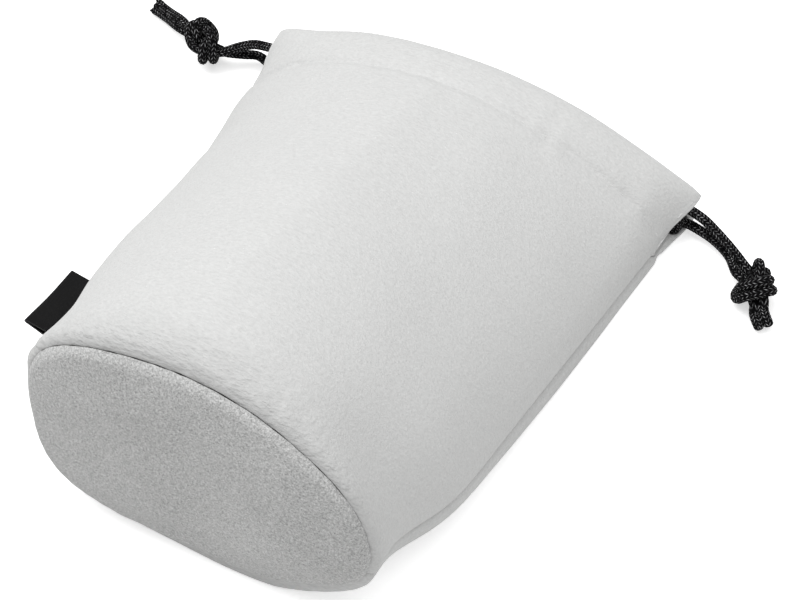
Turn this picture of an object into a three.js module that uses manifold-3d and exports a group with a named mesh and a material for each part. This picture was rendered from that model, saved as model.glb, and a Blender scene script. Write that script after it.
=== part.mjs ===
// A soft drawstring pouch for compact binoculars, lying on its back and filled out.
// Millimetres. +Z is up, +X is the pouch's right side, +Y runs from its base to its mouth.
import * as THREE from 'three';
import { mergeVertices } from 'three/addons/utils/BufferGeometryUtils.js';
import Module from 'manifold-3d';

const wasm = await Module();
wasm.setup();

// Body: an oval base whose walls run out to a wide, flattened mouth
const LENGTH = 135; // base to mouth
const BASE_WIDTH = 87.8; // across the base seam
const BASE_RISE = 37; // from the side seams up to the base's front edge
const SEAM_HEIGHT = 29.2; // side seams above the surface, at the base
const BASE_LIFT = 2.9; // the base seam's lowest place above the surface
const BASE_SET_IN = 1.15; // the base lies this far in from the end of the walls' measure
const BASE_ASIDE = 0.65; // and this far to the right of the mouth's middle
const BASE_LEAN = THREE.MathUtils.degToRad(7.1); // the base's front edge leans towards the mouth
const MOUTH_WIDTH = 125; // between the points where the front and back curves would meet
const MOUTH_ARCH = 24; // rise of the front hem above the mouth's corners
const MOUTH_SEAM_HEIGHT = 6.2; // mouth corners above the surface
const ARCH_POWER = 1.5; // 1 is an ellipse, higher is a sharper lens
const SHOULDER = 9.2; // how far the front wall swells past the base seam
const SHOULDER_RUN = 9.6; // length over which that swelling builds up
const SIDE_SHARE = 0.68; // share of that swelling at the side seams
const UNDER_DROP = 8; // the back wall rolls down from the base seam to the surface
const UNDER_ROLL = 1.2; // and out under it
const ROLL_RUN = 3.5; // length over which it rolls
const FRONT_SWELL = 3.4; // extra crown of the front wall at mid-length
const BACK_SWELL = 5; // how far the back wall bellies out beside the surface
const SEAM_DRAW = 2.8; // the side seams pull in at mid-length
const SEAM_SAG = 8.3; // and hang lower
const BASE_PRESS = 1.08; // the oval is this much too deep, so its underside is pressed flat
const MOUTH_PRESS = 1.85; // the same at the mouth, where the back wall lies flat sooner

// Cloth and sewing
const CLOTH = 1.2;
const SEAM_GAP = 0.3; // between cloth edges that are sewn together
const THREAD = 0.5;
const BASE_DOME = 2.5; // the base's middle stands proud of its seam
const BASE_FLAT = 0.6; // share of the base's radius that is flat
const FRONT_TURN = 0.6; // how far the front's thickness turns upright at the mouth
const BACK_TURN = 0.9; // the same for the back

// Hem, with the tunnel that the drawcords run through
const HEM_HEIGHT = 12;
const HEM_PUFF = 1.9; // the front hem swells outwards
const HEM_ALLOWANCE = 2.5; // cloth below the row of stitches
const STITCH_DIMPLE = 0.3;
const SLIT_LENGTH = 19; // the side seams stop this far below the mouth
const SLIT_EASE = 9; // length over which the hem ends part
const HEM_END_ANGLE = THREE.MathUtils.degToRad(17); // where the hems end, round the mouth
const END_STITCH_INSET = 4;
const FLARE_OUT = 4.2; // the front hem's right end stands out
const FLARE_UP = 2.1; // and up
const FLARE_FROM = 0.6; // from this share of the mouth's half width
const SEAM_THREAD_START = 3; // the side threads start this far from the base
const SEAM_THREAD_STOP = 2; // and stop this far below the slit

// Drawcords
const CORD = 2.4;
const CORD_GAP = 0.8; // between the two cords in one tunnel
const TUNNEL_ROOM = 0.6;
const CORD_END_GAP = 0.3;
const CROSSING_REACH = 2.2; // how far a cord loops out between the two tunnels

// Knots: each cord's two ends wrap round themselves and pass through
const KNOT_TURNS = 1.5;
const KNOT_RADIUS = 1.8 * CORD; // middle of the wraps
const KNOT_HALF_PITCH = 0.88 * CORD; // neighbouring wraps press into each other
const KNOT_CORE_ACROSS = 0.53 * CORD; // the strands inside the wraps, from the knot's axis
const KNOT_CORE_UP = (CORD + CORD_END_GAP) / 2;
const KNOT_HALF_LENGTH = 6.2;
const KNOT_CLEARANCE = 0.1; // above the surface
const KNOT_HEIGHT = KNOT_RADIUS + CORD / 2 + KNOT_CLEARANCE;

// Label folded in two and sewn into the left side seam
const LABEL_START = 21.8; // from the base
const LABEL_LENGTH = 20.2;
const LABEL_REACH = 10.2;
const LABEL_CLOTH = 0.6;
const LABEL_FOLD_GAP = 0.4;
const LABEL_SEAT = 0.7; // clear of the seam, so that the label can swing
const LABEL_TILT = THREE.MathUtils.degToRad(20);

// Facets
const PANEL_STEPS = 18;
const ROW_SHARES = [0, 0.018, 0.045, 0.082, 0.136, 0.227, 0.364, 0.527, 0.69, 0.855]; // base to hem
const BASE_STEPS = 32;
const LABEL_STEPS = 4;
const CORD_SIDES = 8;
const KNOT_SIDES = 6;
const KNOT_STEPS = 38;
const THREAD_SIDES = 4;
const FACET_ROOM = 0.2; // threads keep this much more off the cloth's facets

const suede = new THREE.MeshStandardMaterial({ color: 0xdcdcda, roughness: 0.95, metalness: 0 });
const suedeBase = new THREE.MeshStandardMaterial({ color: 0xd0d0ce, roughness: 0.95, metalness: 0 });
const thread = new THREE.MeshStandardMaterial({ color: 0xcfcfcc, roughness: 0.7, metalness: 0 });
const cordBlack = new THREE.MeshStandardMaterial({ color: 0x161617, roughness: 0.6, metalness: 0 });
const labelCloth = new THREE.MeshStandardMaterial({ color: 0x2a2a2b, roughness: 0.8, metalness: 0 });

// Oval of the base seam, from the middle of the seam line. The angle runs from the right seam over the front.
function baseOval(angle) {
  const side = Math.sin(angle);
  const up = side >= 0 ? BASE_RISE * side : (SEAM_HEIGHT - BASE_LIFT) * Math.max(-1, BASE_PRESS * side);
  return new THREE.Vector2((BASE_WIDTH / 2) * Math.cos(angle), up);
}

// A point of the plane of the base seam, which leans towards the mouth at the top.
function onBasePlane(across, up) {
  return new THREE.Vector3(BASE_ASIDE + across, BASE_SET_IN + up * Math.tan(BASE_LEAN), SEAM_HEIGHT + up);
}

// Outer face of the walls: straight lines from the base oval to the mouth's curve, then swollen and sagged.
function wallPoint(angle, fromBase) {
  const along = fromBase / LENGTH;
  const across = Math.cos(angle);
  const side = Math.sin(angle);
  const front = side >= 0;
  const oval = baseOval(angle);
  const base = onBasePlane(oval.x, oval.y);
  const mouthHeight = front
    ? MOUTH_SEAM_HEIGHT + MOUTH_ARCH * side ** ARCH_POWER
    : MOUTH_SEAM_HEIGHT * Math.max(0, 1 - MOUTH_PRESS * Math.sqrt(-side));
  const mouth = new THREE.Vector3((MOUTH_WIDTH / 2) * across, LENGTH, mouthHeight);
  const middle = 4 * along * (1 - along);
  const shoulder = SHOULDER * (1 - Math.exp(-fromBase / SHOULDER_RUN)) * (1 - along);
  const point = base.lerp(mouth, along);
  point.x += across * (SIDE_SHARE * shoulder - SEAM_DRAW * middle);
  point.z -= SEAM_SAG * middle * Math.abs(across);
  if (front) {
    const flare = hemFlare(across, fromBase);
    point.x += FLARE_OUT * flare;
    point.z += side * (shoulder + FRONT_SWELL * middle) + FLARE_UP * flare;
  } else {
    const rolled = fromBase / ROLL_RUN;
    point.x -= across * side * BACK_SWELL * middle;
    point.y += side * UNDER_ROLL * rolled * Math.exp(1 - rolled);
    point.z = Math.max(0, point.z + side * UNDER_DROP * (1 - Math.exp(-rolled)) * (1 - along));
  }
  return point;
}

// How far the front hem's right end stands out, from 0 below the slit to 1 at the mouth's corner.
function hemFlare(across, fromBase) {
  const slit = THREE.MathUtils.smoothstep(fromBase, LENGTH - SLIT_LENGTH, LENGTH);
  return slit * THREE.MathUtils.smoothstep(across, FLARE_FROM, 1);
}

// A point inside the cloth, at a depth below the outer face; a negative depth stands proud of it.
function clothPoint(angle, fromBase, depth) {
  const side = Math.sin(angle);
  const turn = side >= 0 ? FRONT_TURN : BACK_TURN;
  const flatten = 1 - turn * (fromBase / LENGTH);
  const inward = new THREE.Vector3(-Math.cos(angle) * flatten, 0, -side).normalize();
  return wallPoint(angle, fromBase).addScaledVector(inward, depth);
}

// Angle round the body at a share of one wall's width, from the front's right seam or the back's left seam.
function wallAngle(share, fromBase, back) {
  const slit = LENGTH - SLIT_LENGTH;
  const edge = HEM_END_ANGLE * THREE.MathUtils.smoothstep(fromBase, slit, slit + SLIT_EASE);
  return (back ? Math.PI : 0) + edge + share * (Math.PI - 2 * edge);
}

// A closed body swept through stations; place(station, x, y) puts a point of the section in space.
// The section's first and last points make a strip of paired rows, so its end caps follow a curved edge.
function sweepGeometry(contour, holes, pairedRows, stations, place) {
  const wind = (loop, clockwise) => {
    return THREE.ShapeUtils.isClockWise(loop) === clockwise ? loop : [...loop].reverse();
  };
  const loops = [wind(contour, false), ...holes.map((hole) => wind(hole, true))];
  const section = loops.flat();
  const end = contour.length - 1;
  const caps = [];
  for (let row = 0; row < pairedRows; row += 1) {
    caps.push([row, row + 1, end - row - 1], [row, end - row - 1, end - row]);
  }
  const rest = loops[0].slice(pairedRows, contour.length - pairedRows);
  for (const triangle of THREE.ShapeUtils.triangulateShape(rest, loops.slice(1))) {
    const moved = triangle.map((i) => (i < rest.length ? i + pairedRows : i + 2 * pairedRows));
    const [i, j, k] = moved;
    caps.push(THREE.ShapeUtils.area([section[i], section[j], section[k]]) > 0 ? [i, j, k] : [i, k, j]);
  }
  const positions = stations.flatMap((station) => section.flatMap((p) => place(station, p.x, p.y).toArray()));
  const faces = [];
  for (let step = 0; step < stations.length - 1; step += 1) {
    let first = step * section.length;
    for (const loop of loops) {
      for (let i = 0; i < loop.length; i += 1) {
        const a = first + i;
        const b = first + ((i + 1) % loop.length);
        const c = a + section.length;
        const d = b + section.length;
        faces.push([a, b, d], [a, d, c]);
      }
      first += loop.length;
    }
  }
  const last = (stations.length - 1) * section.length;
  for (const [i, j, k] of caps) {
    faces.push([k, j, i], [last + i, last + j, last + k]);
  }
  return outwardGeometry(positions, faces);
}

// Indexed geometry whose faces all point out of the closed body.
function outwardGeometry(positions, faces) {
  const vertex = (i) => new THREE.Vector3().fromArray(positions, 3 * i);
  const volume = faces.reduce((sum, [a, b, c]) => sum + vertex(a).dot(vertex(b).cross(vertex(c))), 0);
  const index = faces.flatMap(([a, b, c]) => (volume > 0 ? [a, b, c] : [a, c, b]));
  const geometry = new THREE.BufferGeometry();
  geometry.setAttribute('position', new THREE.Float32BufferAttribute(positions, 3));
  geometry.setIndex(index);
  geometry.computeVertexNormals();
  return geometry;
}

function tubeGeometry(points, diameter, sides, steps) {
  const turn = (2 * Math.PI) / sides;
  const radius = diameter / 2;
  const corner = (_, i) => new THREE.Vector2(radius * Math.cos(i * turn), radius * Math.sin(i * turn));
  const circle = new THREE.Shape(Array.from({ length: sides }, corner));
  const extrudePath = new THREE.CatmullRomCurve3(points, false, 'centripetal');
  return new THREE.ExtrudeGeometry(circle, { steps, extrudePath, bevelEnabled: false });
}

const shares = (count) => Array.from({ length: count + 1 }, (_, i) => i / count);

// Middle of the drawcord tunnel and the places of its two cords
const tunnelHalf = CORD / 2 + TUNNEL_ROOM;
const tunnelRise = CORD + CORD_GAP / 2 + TUNNEL_ROOM;
const tunnelMiddle = LENGTH - HEM_HEIGHT / 2;
const tunnelDepth = (back) => CLOTH + tunnelHalf - (back ? 0 : HEM_PUFF);
const cordLine = { left: tunnelMiddle + (CORD + CORD_GAP) / 2, right: tunnelMiddle - (CORD + CORD_GAP) / 2 };

// Section of one wall: x runs from the base to the mouth, y is the depth into the cloth.
function wallSection(back) {
  const puff = back ? 0 : HEM_PUFF;
  const depth = tunnelDepth(back);
  const inner = depth + tunnelHalf + CLOTH;
  const stitch = LENGTH - HEM_HEIGHT;
  const hemEdge = stitch - HEM_ALLOWANCE;
  const rows = ROW_SHARES.map((share) => share * hemEdge);
  const outside = [
    ...rows.map((row) => [row, 0]),
    [hemEdge, 0],
    [stitch, STITCH_DIMPLE],
    [tunnelMiddle - tunnelRise, -0.55 * puff],
    [tunnelMiddle, -puff],
    [tunnelMiddle + tunnelRise, -0.6 * puff],
    [LENGTH - CLOTH / 2, depth - tunnelHalf],
    [LENGTH, depth],
  ];
  const inside = [
    [LENGTH - CLOTH / 2, depth + tunnelHalf],
    [tunnelMiddle + tunnelRise, inner - CLOTH / 3],
    [tunnelMiddle, inner],
    [tunnelMiddle - tunnelRise, inner - CLOTH / 3],
    [stitch, 2 * CLOTH + STITCH_DIMPLE],
    [hemEdge, 2 * CLOTH],
    [hemEdge, CLOTH],
    ...[...rows].reverse().map((row) => [row, CLOTH]),
  ];
  const tunnel = [
    [1, 0],
    [0.82, 0.72],
    [0.42, 1],
    [-0.42, 1],
    [-0.82, 0.72],
    [-1, 0],
    [-0.82, -0.72],
    [-0.42, -1],
    [0.42, -1],
    [0.82, -0.72],
  ].map(([rise, half]) => [tunnelMiddle + rise * tunnelRise, depth + half * tunnelHalf]);
  const points = (pairs) => pairs.map(([x, y]) => new THREE.Vector2(x, y));
  return { contour: points([...outside, ...inside]), tunnel: points(tunnel), pairedRows: rows.length };
}

function panelGeometry(back) {
  const { contour, tunnel, pairedRows } = wallSection(back);
  const place = (share, fromBase, depth) => clothPoint(wallAngle(share, fromBase, back), fromBase, depth);
  return sweepGeometry(contour, [tunnel], pairedRows, shares(PANEL_STEPS), place);
}

// Oval bottom: flat in the middle, curving in to its seam.
function basePanelGeometry() {
  const outward = new THREE.Vector3(0, -Math.cos(BASE_LEAN), Math.sin(BASE_LEAN));
  const place = (angle, radius, offset) => {
    const oval = baseOval(angle).multiplyScalar(radius);
    return onBasePlane(oval.x, oval.y).addScaledVector(outward, offset);
  };
  const dome = (radius) => SEAM_GAP + BASE_DOME * (1 - THREE.MathUtils.smoothstep(radius, BASE_FLAT, 1));
  const ringRadii = [BASE_FLAT, 0.8, 0.9, 0.96, 1];
  const outer = ringRadii.map((radius) => [radius, dome(radius) + CLOTH]);
  const inner = ringRadii.map((radius) => [radius, dome(radius)]).reverse();
  const rings = [...outer, ...inner];
  const positions = [];
  for (const [radius, offset] of rings) {
    for (let i = 0; i < BASE_STEPS; i += 1) {
      positions.push(...place((i * 2 * Math.PI) / BASE_STEPS, radius, offset).toArray());
    }
  }
  const innerMiddle = positions.length / 3;
  positions.push(...place(0, 0, dome(0)).toArray());
  const outerMiddle = positions.length / 3;
  positions.push(...place(0, 0, dome(0) + CLOTH).toArray());
  const lastRing = (rings.length - 1) * BASE_STEPS;
  const faces = [];
  for (let i = 0; i < BASE_STEPS; i += 1) {
    const next = (i + 1) % BASE_STEPS;
    for (let ring = 0; ring < rings.length - 1; ring += 1) {
      const a = ring * BASE_STEPS;
      const b = a + BASE_STEPS;
      faces.push([a + i, b + i, b + next], [a + i, b + next, a + next]);
    }
    faces.push([outerMiddle, i, next], [innerMiddle, lastRing + next, lastRing + i]);
  }
  return outwardGeometry(positions, faces);
}

// Sewing thread inside a side seam, from near the base to the slit.
function sideSeamThread(angle) {
  const depth = CLOTH + SEAM_GAP + FACET_ROOM + THREAD / 2;
  const end = LENGTH - SLIT_LENGTH - SEAM_THREAD_STOP;
  const path = shares(14).map((share) => {
    const point = clothPoint(angle, THREE.MathUtils.lerp(SEAM_THREAD_START, end, share), depth);
    point.z += SEAM_GAP / 2;
    return point;
  });
  return tubeGeometry(path, THREAD, THREAD_SIDES, path.length - 1);
}

// Thread of the base seam, in the corner between walls and base; its two ends meet at the left seam.
function baseSeamThread() {
  const depth = CLOTH + 2 * SEAM_GAP + FACET_ROOM + THREAD / 2;
  const ends = 0.03;
  const path = shares(40).map((share) => {
    const angle = Math.PI + ends + share * 2 * (Math.PI - ends);
    const point = clothPoint(angle, 0, depth);
    point.y += SEAM_GAP + THREAD / 2;
    return point;
  });
  return tubeGeometry(path, THREAD, THREAD_SIDES, path.length - 1);
}

// Row of stitches along a hem, lying over its dimple.
function hemStitch(back) {
  const fromBase = LENGTH - HEM_HEIGHT;
  const overCloth = SEAM_GAP + FACET_ROOM + THREAD / 2;
  const depth = back ? 2 * CLOTH + STITCH_DIMPLE + overCloth : STITCH_DIMPLE - overCloth;
  const inset = 0.02;
  const path = shares(PANEL_STEPS).map((share) => {
    const eased = inset + share * (1 - 2 * inset);
    return clothPoint(wallAngle(eased, fromBase, back), fromBase, depth);
  });
  return tubeGeometry(path, THREAD, THREAD_SIDES, path.length - 1);
}

// Short row beside the open end of a tunnel.
function endStitch(back, atRight) {
  const inset = END_STITCH_INSET / MOUTH_WIDTH;
  const share = atRight === back ? 1 - inset : inset;
  const { contour } = wallSection(back);
  const inner = tunnelDepth(back) + tunnelHalf + CLOTH;
  const overCloth = SEAM_GAP + FACET_ROOM + THREAD / 2;
  const from = tunnelMiddle - tunnelRise;
  const to = tunnelMiddle + tunnelRise;
  const depthAt = (fromBase) => {
    if (back) return inner + overCloth;
    const above = contour.findIndex((p) => p.x >= fromBase);
    const [a, b] = [contour[above - 1], contour[above]];
    return THREE.MathUtils.mapLinear(fromBase, a.x, b.x, a.y, b.y) - overCloth;
  };
  const path = shares(5).map((step) => {
    const fromBase = from + step * (to - from);
    return clothPoint(wallAngle(share, fromBase, back), fromBase, depthAt(fromBase));
  });
  return tubeGeometry(path, THREAD, THREAD_SIDES, path.length - 1);
}

// Drawcord run inside one tunnel; share 0 of the front and share 1 of the back are at the right.
function runPath(side, back) {
  const fromBase = cordLine[side];
  const depth = tunnelDepth(back);
  return shares(PANEL_STEPS).map((share) => clothPoint(wallAngle(share, fromBase, back), fromBase, depth));
}

function runGeometry(side, back) {
  return tubeGeometry(runPath(side, back), CORD, CORD_SIDES, PANEL_STEPS);
}

// The point just past a run's end and the direction that the cord leaves it in.
function runEnd(side, back, atRight) {
  const path = runPath(side, back);
  const ordered = atRight === back ? path : [...path].reverse();
  const [before, end] = ordered.slice(-2);
  const heading = end.clone().sub(before).normalize();
  const point = end.clone().addScaledVector(heading, CORD_END_GAP);
  if (!back) point.z += SEAM_GAP;
  return { point, heading };
}

// A cord turns from the front tunnel into the back one at the end away from its knot.
function crossingGeometry(side) {
  const atRight = side === 'left';
  const front = runEnd(side, false, atRight);
  const back = runEnd(side, true, atRight);
  const outX = Math.max(Math.abs(front.point.x), Math.abs(back.point.x)) + CROSSING_REACH;
  const middle = front.point.clone().add(back.point).multiplyScalar(0.5).setX(atRight ? outX : -outX);
  const lead = (end) => end.point.clone().addScaledVector(end.heading, CORD / 2);
  const path = [front.point, lead(front), middle, lead(back), back.point];
  return tubeGeometry(path, CORD, CORD_SIDES, 10);
}

// Knots lie on the surface: the middle's place, and the heading of the tails, in degrees from +X
const knots = {
  left: { middle: new THREE.Vector3(-78.8, 129.4, KNOT_HEIGHT), heading: THREE.MathUtils.degToRad(170) },
  right: { middle: new THREE.Vector3(84.6, 118.9, KNOT_HEIGHT), heading: THREE.MathUtils.degToRad(-48) },
};

function knotPoint(side, ahead, across, up) {
  const { middle, heading } = knots[side];
  const spin = new THREE.Vector3(0, 0, 1);
  return new THREE.Vector3(ahead, across, up).applyAxisAngle(spin, heading).add(middle);
}

// One strand of a knot: in through the core, back round it in wraps, and out through the core again.
function knotStrand(side, upper) {
  const up = upper ? KNOT_CORE_UP : -KNOT_CORE_UP;
  const firstWrap = upper ? 2 * KNOT_HALF_PITCH : KNOT_HALF_PITCH;
  const lastWrap = firstWrap - 2 * KNOT_HALF_PITCH * KNOT_TURNS;
  const wrapSteps = 18;
  const wraps = shares(wrapSteps).map((share) => {
    const angle = Math.PI - share * KNOT_TURNS * 2 * Math.PI;
    const ahead = THREE.MathUtils.lerp(firstWrap, lastWrap, share);
    return [ahead, KNOT_RADIUS * Math.cos(angle), KNOT_RADIUS * Math.sin(angle)];
  });
  const points = [
    [-KNOT_HALF_LENGTH, -KNOT_CORE_ACROSS, up],
    [lastWrap, -KNOT_CORE_ACROSS, up],
    [firstWrap - CORD / 2, -KNOT_CORE_ACROSS, up],
    [firstWrap + CORD / 3, -1.1 * CORD, up / 2],
    ...wraps,
    [lastWrap - CORD / 3, 1.1 * CORD, up / 2],
    [lastWrap + CORD / 2, KNOT_CORE_ACROSS, up],
    [firstWrap, KNOT_CORE_ACROSS, up],
    [KNOT_HALF_LENGTH, KNOT_CORE_ACROSS, up],
  ].map(([ahead, across, lift]) => knotPoint(side, ahead, across, lift));
  return tubeGeometry(points, CORD, KNOT_SIDES, KNOT_STEPS);
}

function solidOf(geometry) {
  const bare = geometry.clone();
  bare.deleteAttribute('normal');
  bare.deleteAttribute('uv');
  const merged = mergeVertices(bare, 1e-4);
  const vertProperties = Float32Array.from(merged.attributes.position.array);
  const triVerts = Uint32Array.from(merged.index.array);
  return new wasm.Manifold(new wasm.Mesh({ numProp: 3, vertProperties, triVerts }));
}

function knotGeometry(side) {
  const joined = solidOf(knotStrand(side, true)).add(solidOf(knotStrand(side, false))).getMesh();
  const geometry = new THREE.BufferGeometry();
  geometry.setAttribute('position', new THREE.BufferAttribute(joined.vertProperties, 3));
  geometry.setIndex(new THREE.BufferAttribute(joined.triVerts, 1));
  geometry.computeVertexNormals();
  return geometry;
}

// Free strands between the tunnels and the knots, and the tails beyond: points chosen by hand
const freePoints = {
  left: {
    front: [[-63.8, 132, 8], [-67.2, 131.4, 7.4]],
    back: [[-64.2, 131.9, 2.9], [-67.6, 131.3, 3.6]],
  },
  right: {
    front: [[66.2, 127.8, 8.7], [71.2, 128.8, 6.3], [75.9, 126.5, 6.4]],
    back: [[64.4, 127.2, 2.7], [69.2, 127.8, 2.6], [73.6, 126.1, 2.9]],
  },
};
const tailPoints = {
  left: {
    front: [[-90.5, 130.4, 5.9], [-96, 133.8, 3], [-101, 137.8, 1.5]],
    back: [[-90, 133.6, 3.2], [-95, 137, 1.6], [-99.6, 140.8, 1.5]],
  },
  right: {
    front: [[92.2, 114.2, 6], [94.8, 110.6, 4]],
    back: [[89.9, 112, 3.2], [91.4, 108.4, 1.7]],
  },
};
const vectors = (points) => points.map((p) => new THREE.Vector3(...p));

function freeGeometry(side, face) {
  const back = face === 'back';
  const exit = runEnd(side, back, side === 'right');
  const up = back ? -KNOT_CORE_UP : KNOT_CORE_UP;
  const entry = (gap) => knotPoint(side, -KNOT_HALF_LENGTH - gap, -KNOT_CORE_ACROSS, up);
  const lead = exit.point.clone().addScaledVector(exit.heading, CORD / 2);
  const path = [exit.point, lead, ...vectors(freePoints[side][face]), entry(CORD), entry(CORD_END_GAP)];
  return tubeGeometry(path, CORD, CORD_SIDES, 10);
}

function tailGeometry(side, face) {
  const up = face === 'back' ? -KNOT_CORE_UP : KNOT_CORE_UP;
  const leave = (gap) => knotPoint(side, KNOT_HALF_LENGTH + gap, KNOT_CORE_ACROSS, up);
  const path = [leave(CORD_END_GAP), leave(CORD / 2), ...vectors(tailPoints[side][face])];
  return tubeGeometry(path, CORD, CORD_SIDES, 6);
}

// Label: a strip folded in two, its fold outwards and its edges at the seam.
function labelGeometry() {
  const gap = LABEL_FOLD_GAP / 2;
  const outer = gap + LABEL_CLOTH;
  const foldAt = LABEL_REACH - outer;
  const bend = [-60, -30, 0, 30, 60].map((degrees) => THREE.MathUtils.degToRad(degrees));
  const arc = (radius) => bend.map((turn) => [foldAt + radius * Math.cos(turn), radius * Math.sin(turn)]);
  const outside = [[0, -outer], [foldAt, -outer], ...arc(outer), [foldAt, outer], [0, outer]];
  const inside = [[0, -gap], [foldAt, -gap], ...arc(gap), [foldAt, gap], [0, gap]];
  const strip = [...outside, ...inside.reverse()].map(([x, y]) => new THREE.Vector2(x, y));
  const out = new THREE.Vector3(-Math.cos(LABEL_TILT), 0, Math.sin(LABEL_TILT));
  const up = new THREE.Vector3(Math.sin(LABEL_TILT), 0, Math.cos(LABEL_TILT));
  const place = (share, reach, lift) => {
    const seam = wallPoint(Math.PI, LABEL_START + share * LABEL_LENGTH);
    return seam.addScaledVector(out, LABEL_SEAT + reach).addScaledVector(up, lift);
  };
  return sweepGeometry(strip, [], 0, shares(LABEL_STEPS), place);
}

function addPiece(group, name, geometry, material) {
  const piece = new THREE.Mesh(geometry, material);
  piece.name = name;
  group.add(piece);
}

const pouch = new THREE.Group();
const frontWall = new THREE.Group();
frontWall.position.z = SEAM_GAP;
pouch.add(frontWall);

addPiece(frontWall, 'front_panel', panelGeometry(false), suede);
addPiece(pouch, 'back_panel', panelGeometry(true), suede);
addPiece(pouch, 'base_panel', basePanelGeometry(), suedeBase);
addPiece(pouch, 'base_seam_thread', baseSeamThread(), thread);
addPiece(pouch, 'left_side_seam_thread', sideSeamThread(Math.PI), thread);
addPiece(pouch, 'right_side_seam_thread', sideSeamThread(0), thread);
addPiece(frontWall, 'front_hem_stitch', hemStitch(false), thread);
addPiece(pouch, 'back_hem_stitch', hemStitch(true), thread);
for (const side of ['left', 'right']) {
  addPiece(frontWall, `front_${side}_end_stitch`, endStitch(false, side === 'right'), thread);
  addPiece(pouch, `back_${side}_end_stitch`, endStitch(true, side === 'right'), thread);
  addPiece(frontWall, `${side}_cord_front_run`, runGeometry(side, false), cordBlack);
  addPiece(pouch, `${side}_cord_back_run`, runGeometry(side, true), cordBlack);
  addPiece(pouch, `${side}_cord_crossing`, crossingGeometry(side), cordBlack);
  addPiece(pouch, `${side}_knot`, knotGeometry(side), cordBlack);
  for (const face of ['front', 'back']) {
    addPiece(pouch, `${side}_cord_${face}_strand`, freeGeometry(side, face), cordBlack);
    addPiece(pouch, `${side}_cord_${face}_tail`, tailGeometry(side, face), cordBlack);
  }
}
addPiece(pouch, 'label_tab', labelGeometry(), labelCloth);

// The origin is on the surface, in the pouch's middle plane, halfway along the cloth body.
const body = new THREE.Box3();
for (const name of ['front_panel', 'back_panel', 'base_panel']) {
  body.expandByObject(pouch.getObjectByName(name), true);
}
pouch.position.y = -(body.min.y + body.max.y) / 2;

export default pouch;
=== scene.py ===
"""A soft suede drawstring pouch for compact binoculars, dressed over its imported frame."""

import math

import bmesh
import bpy
import numpy as np
from bpy.props import FloatProperty, FloatVectorProperty, PointerProperty
from mathutils import Matrix, Vector


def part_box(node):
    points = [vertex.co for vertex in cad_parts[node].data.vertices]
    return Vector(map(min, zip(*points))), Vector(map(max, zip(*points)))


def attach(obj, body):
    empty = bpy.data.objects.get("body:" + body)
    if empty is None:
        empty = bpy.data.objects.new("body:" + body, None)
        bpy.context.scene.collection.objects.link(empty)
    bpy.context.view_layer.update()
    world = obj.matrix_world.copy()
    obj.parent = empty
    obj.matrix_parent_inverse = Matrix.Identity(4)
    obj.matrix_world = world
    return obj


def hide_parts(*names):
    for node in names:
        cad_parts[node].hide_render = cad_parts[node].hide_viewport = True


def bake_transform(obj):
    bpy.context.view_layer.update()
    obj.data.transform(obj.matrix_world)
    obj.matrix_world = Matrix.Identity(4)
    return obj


bl_info = {
    "name": "Suede Drawstring Pouch",
    "version": (1, 0, 0),
    "blender": (4, 5, 0),
    "location": "View3D > Sidebar > Pouch",
    "description": "Builds a suede drawstring pouch with knotted cords and a side label",
    "category": "Add Mesh",
}

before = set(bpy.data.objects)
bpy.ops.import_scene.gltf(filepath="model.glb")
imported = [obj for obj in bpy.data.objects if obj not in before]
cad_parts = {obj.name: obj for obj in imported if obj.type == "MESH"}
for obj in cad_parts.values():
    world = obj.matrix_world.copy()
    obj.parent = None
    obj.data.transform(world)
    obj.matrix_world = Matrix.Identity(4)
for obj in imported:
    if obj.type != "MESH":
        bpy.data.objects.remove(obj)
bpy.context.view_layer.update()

MM = 0.001
SIDES = ("left", "right")
FACES = ("front", "back")

# Meshes and curves
MERGE = 1e-7
TINY = 1e-12
UPRIGHT = 1e-3
SHARP_ANGLE = math.radians(55)
SPAN_STEPS = 24
WAVE_RANGE = (0.7, 1.5)

# Base oval
LEFT_SQUARE_TILT = 0.3
LOW_RIGHT_SQUARE = 0.25
SQUARE_FULL = 0.9
LOW_FULL = 0.5
RIGHT_LIFT = 2.2 * MM
LIFT_FULL = 0.8
RIGHT_WIDEN = 1.8 * MM
WIDEN_FROM = 0.6

# Walls: their dents, their hem ends and how the cloth's thickness turns
LEFT_TUCK_AT = 13 * MM
LEFT_TUCK_RUN = 17 * MM
LEFT_TUCK_ROUND = (0.2, 0.8)
RIGHT_TUCK_AT = 10 * MM
RIGHT_TUCK_RUN = 12 * MM
RIGHT_TUCK_ROUND = (0.5, 0.95)
TUCK_START = 4 * MM
LEFT_UNDER = 0.7
LEFT_UNDER_ROUND = (-0.3, 0.6)
FLARE_POWER = 1.6
SLIT_POWER = 1.5
SEAM_EASE = 0.06
FRONT_TURN = 0.6
BACK_TURN = 0.9

# Base seam: both cloths turn in on an arc
SEAM_ROLL = 2.1 * MM
SEAM_TURN = math.radians(91)
SEAM_REACH = SEAM_ROLL * (math.sin(SEAM_TURN) - math.cos(SEAM_TURN))
SEAM_LINING = 0.35 * MM
LINING_SHARE = 0.43
SEAM_FALL = 0.7 * MM
FALL_RUN = 4 * MM
SEAM_OVERLAP = 0.4 * MM

# Grids of the walls, the hems and the base
ROLL_POINTS = 20
NEAR_BASE = 12 * MM
NEAR_HEM = 8 * MM
WALL_ROWS = (24, 58, 13)
HEM_POINTS = 64
PANEL_COLUMNS = 190
SEAM_CLUSTER = 0.72
END_LOOPS = 6
BASE_RINGS = 40
RING_POWER = 1.3
RIM_RINGS = 16
RIM_REACH = 8 * MM
BASE_COLUMNS = 300

# Hem ends
GROOVE = 0.45 * MM
END_BULGE = 0.3 * MM
END_FLAT_OUT = 0.85
END_FLAT_IN = 0.45
END_FLAT_FOLD = 0.5
END_FLAT_RUN = 8 * MM
FOLD_FROM = 5 * MM
FOLD_TO = 1 * MM

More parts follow.
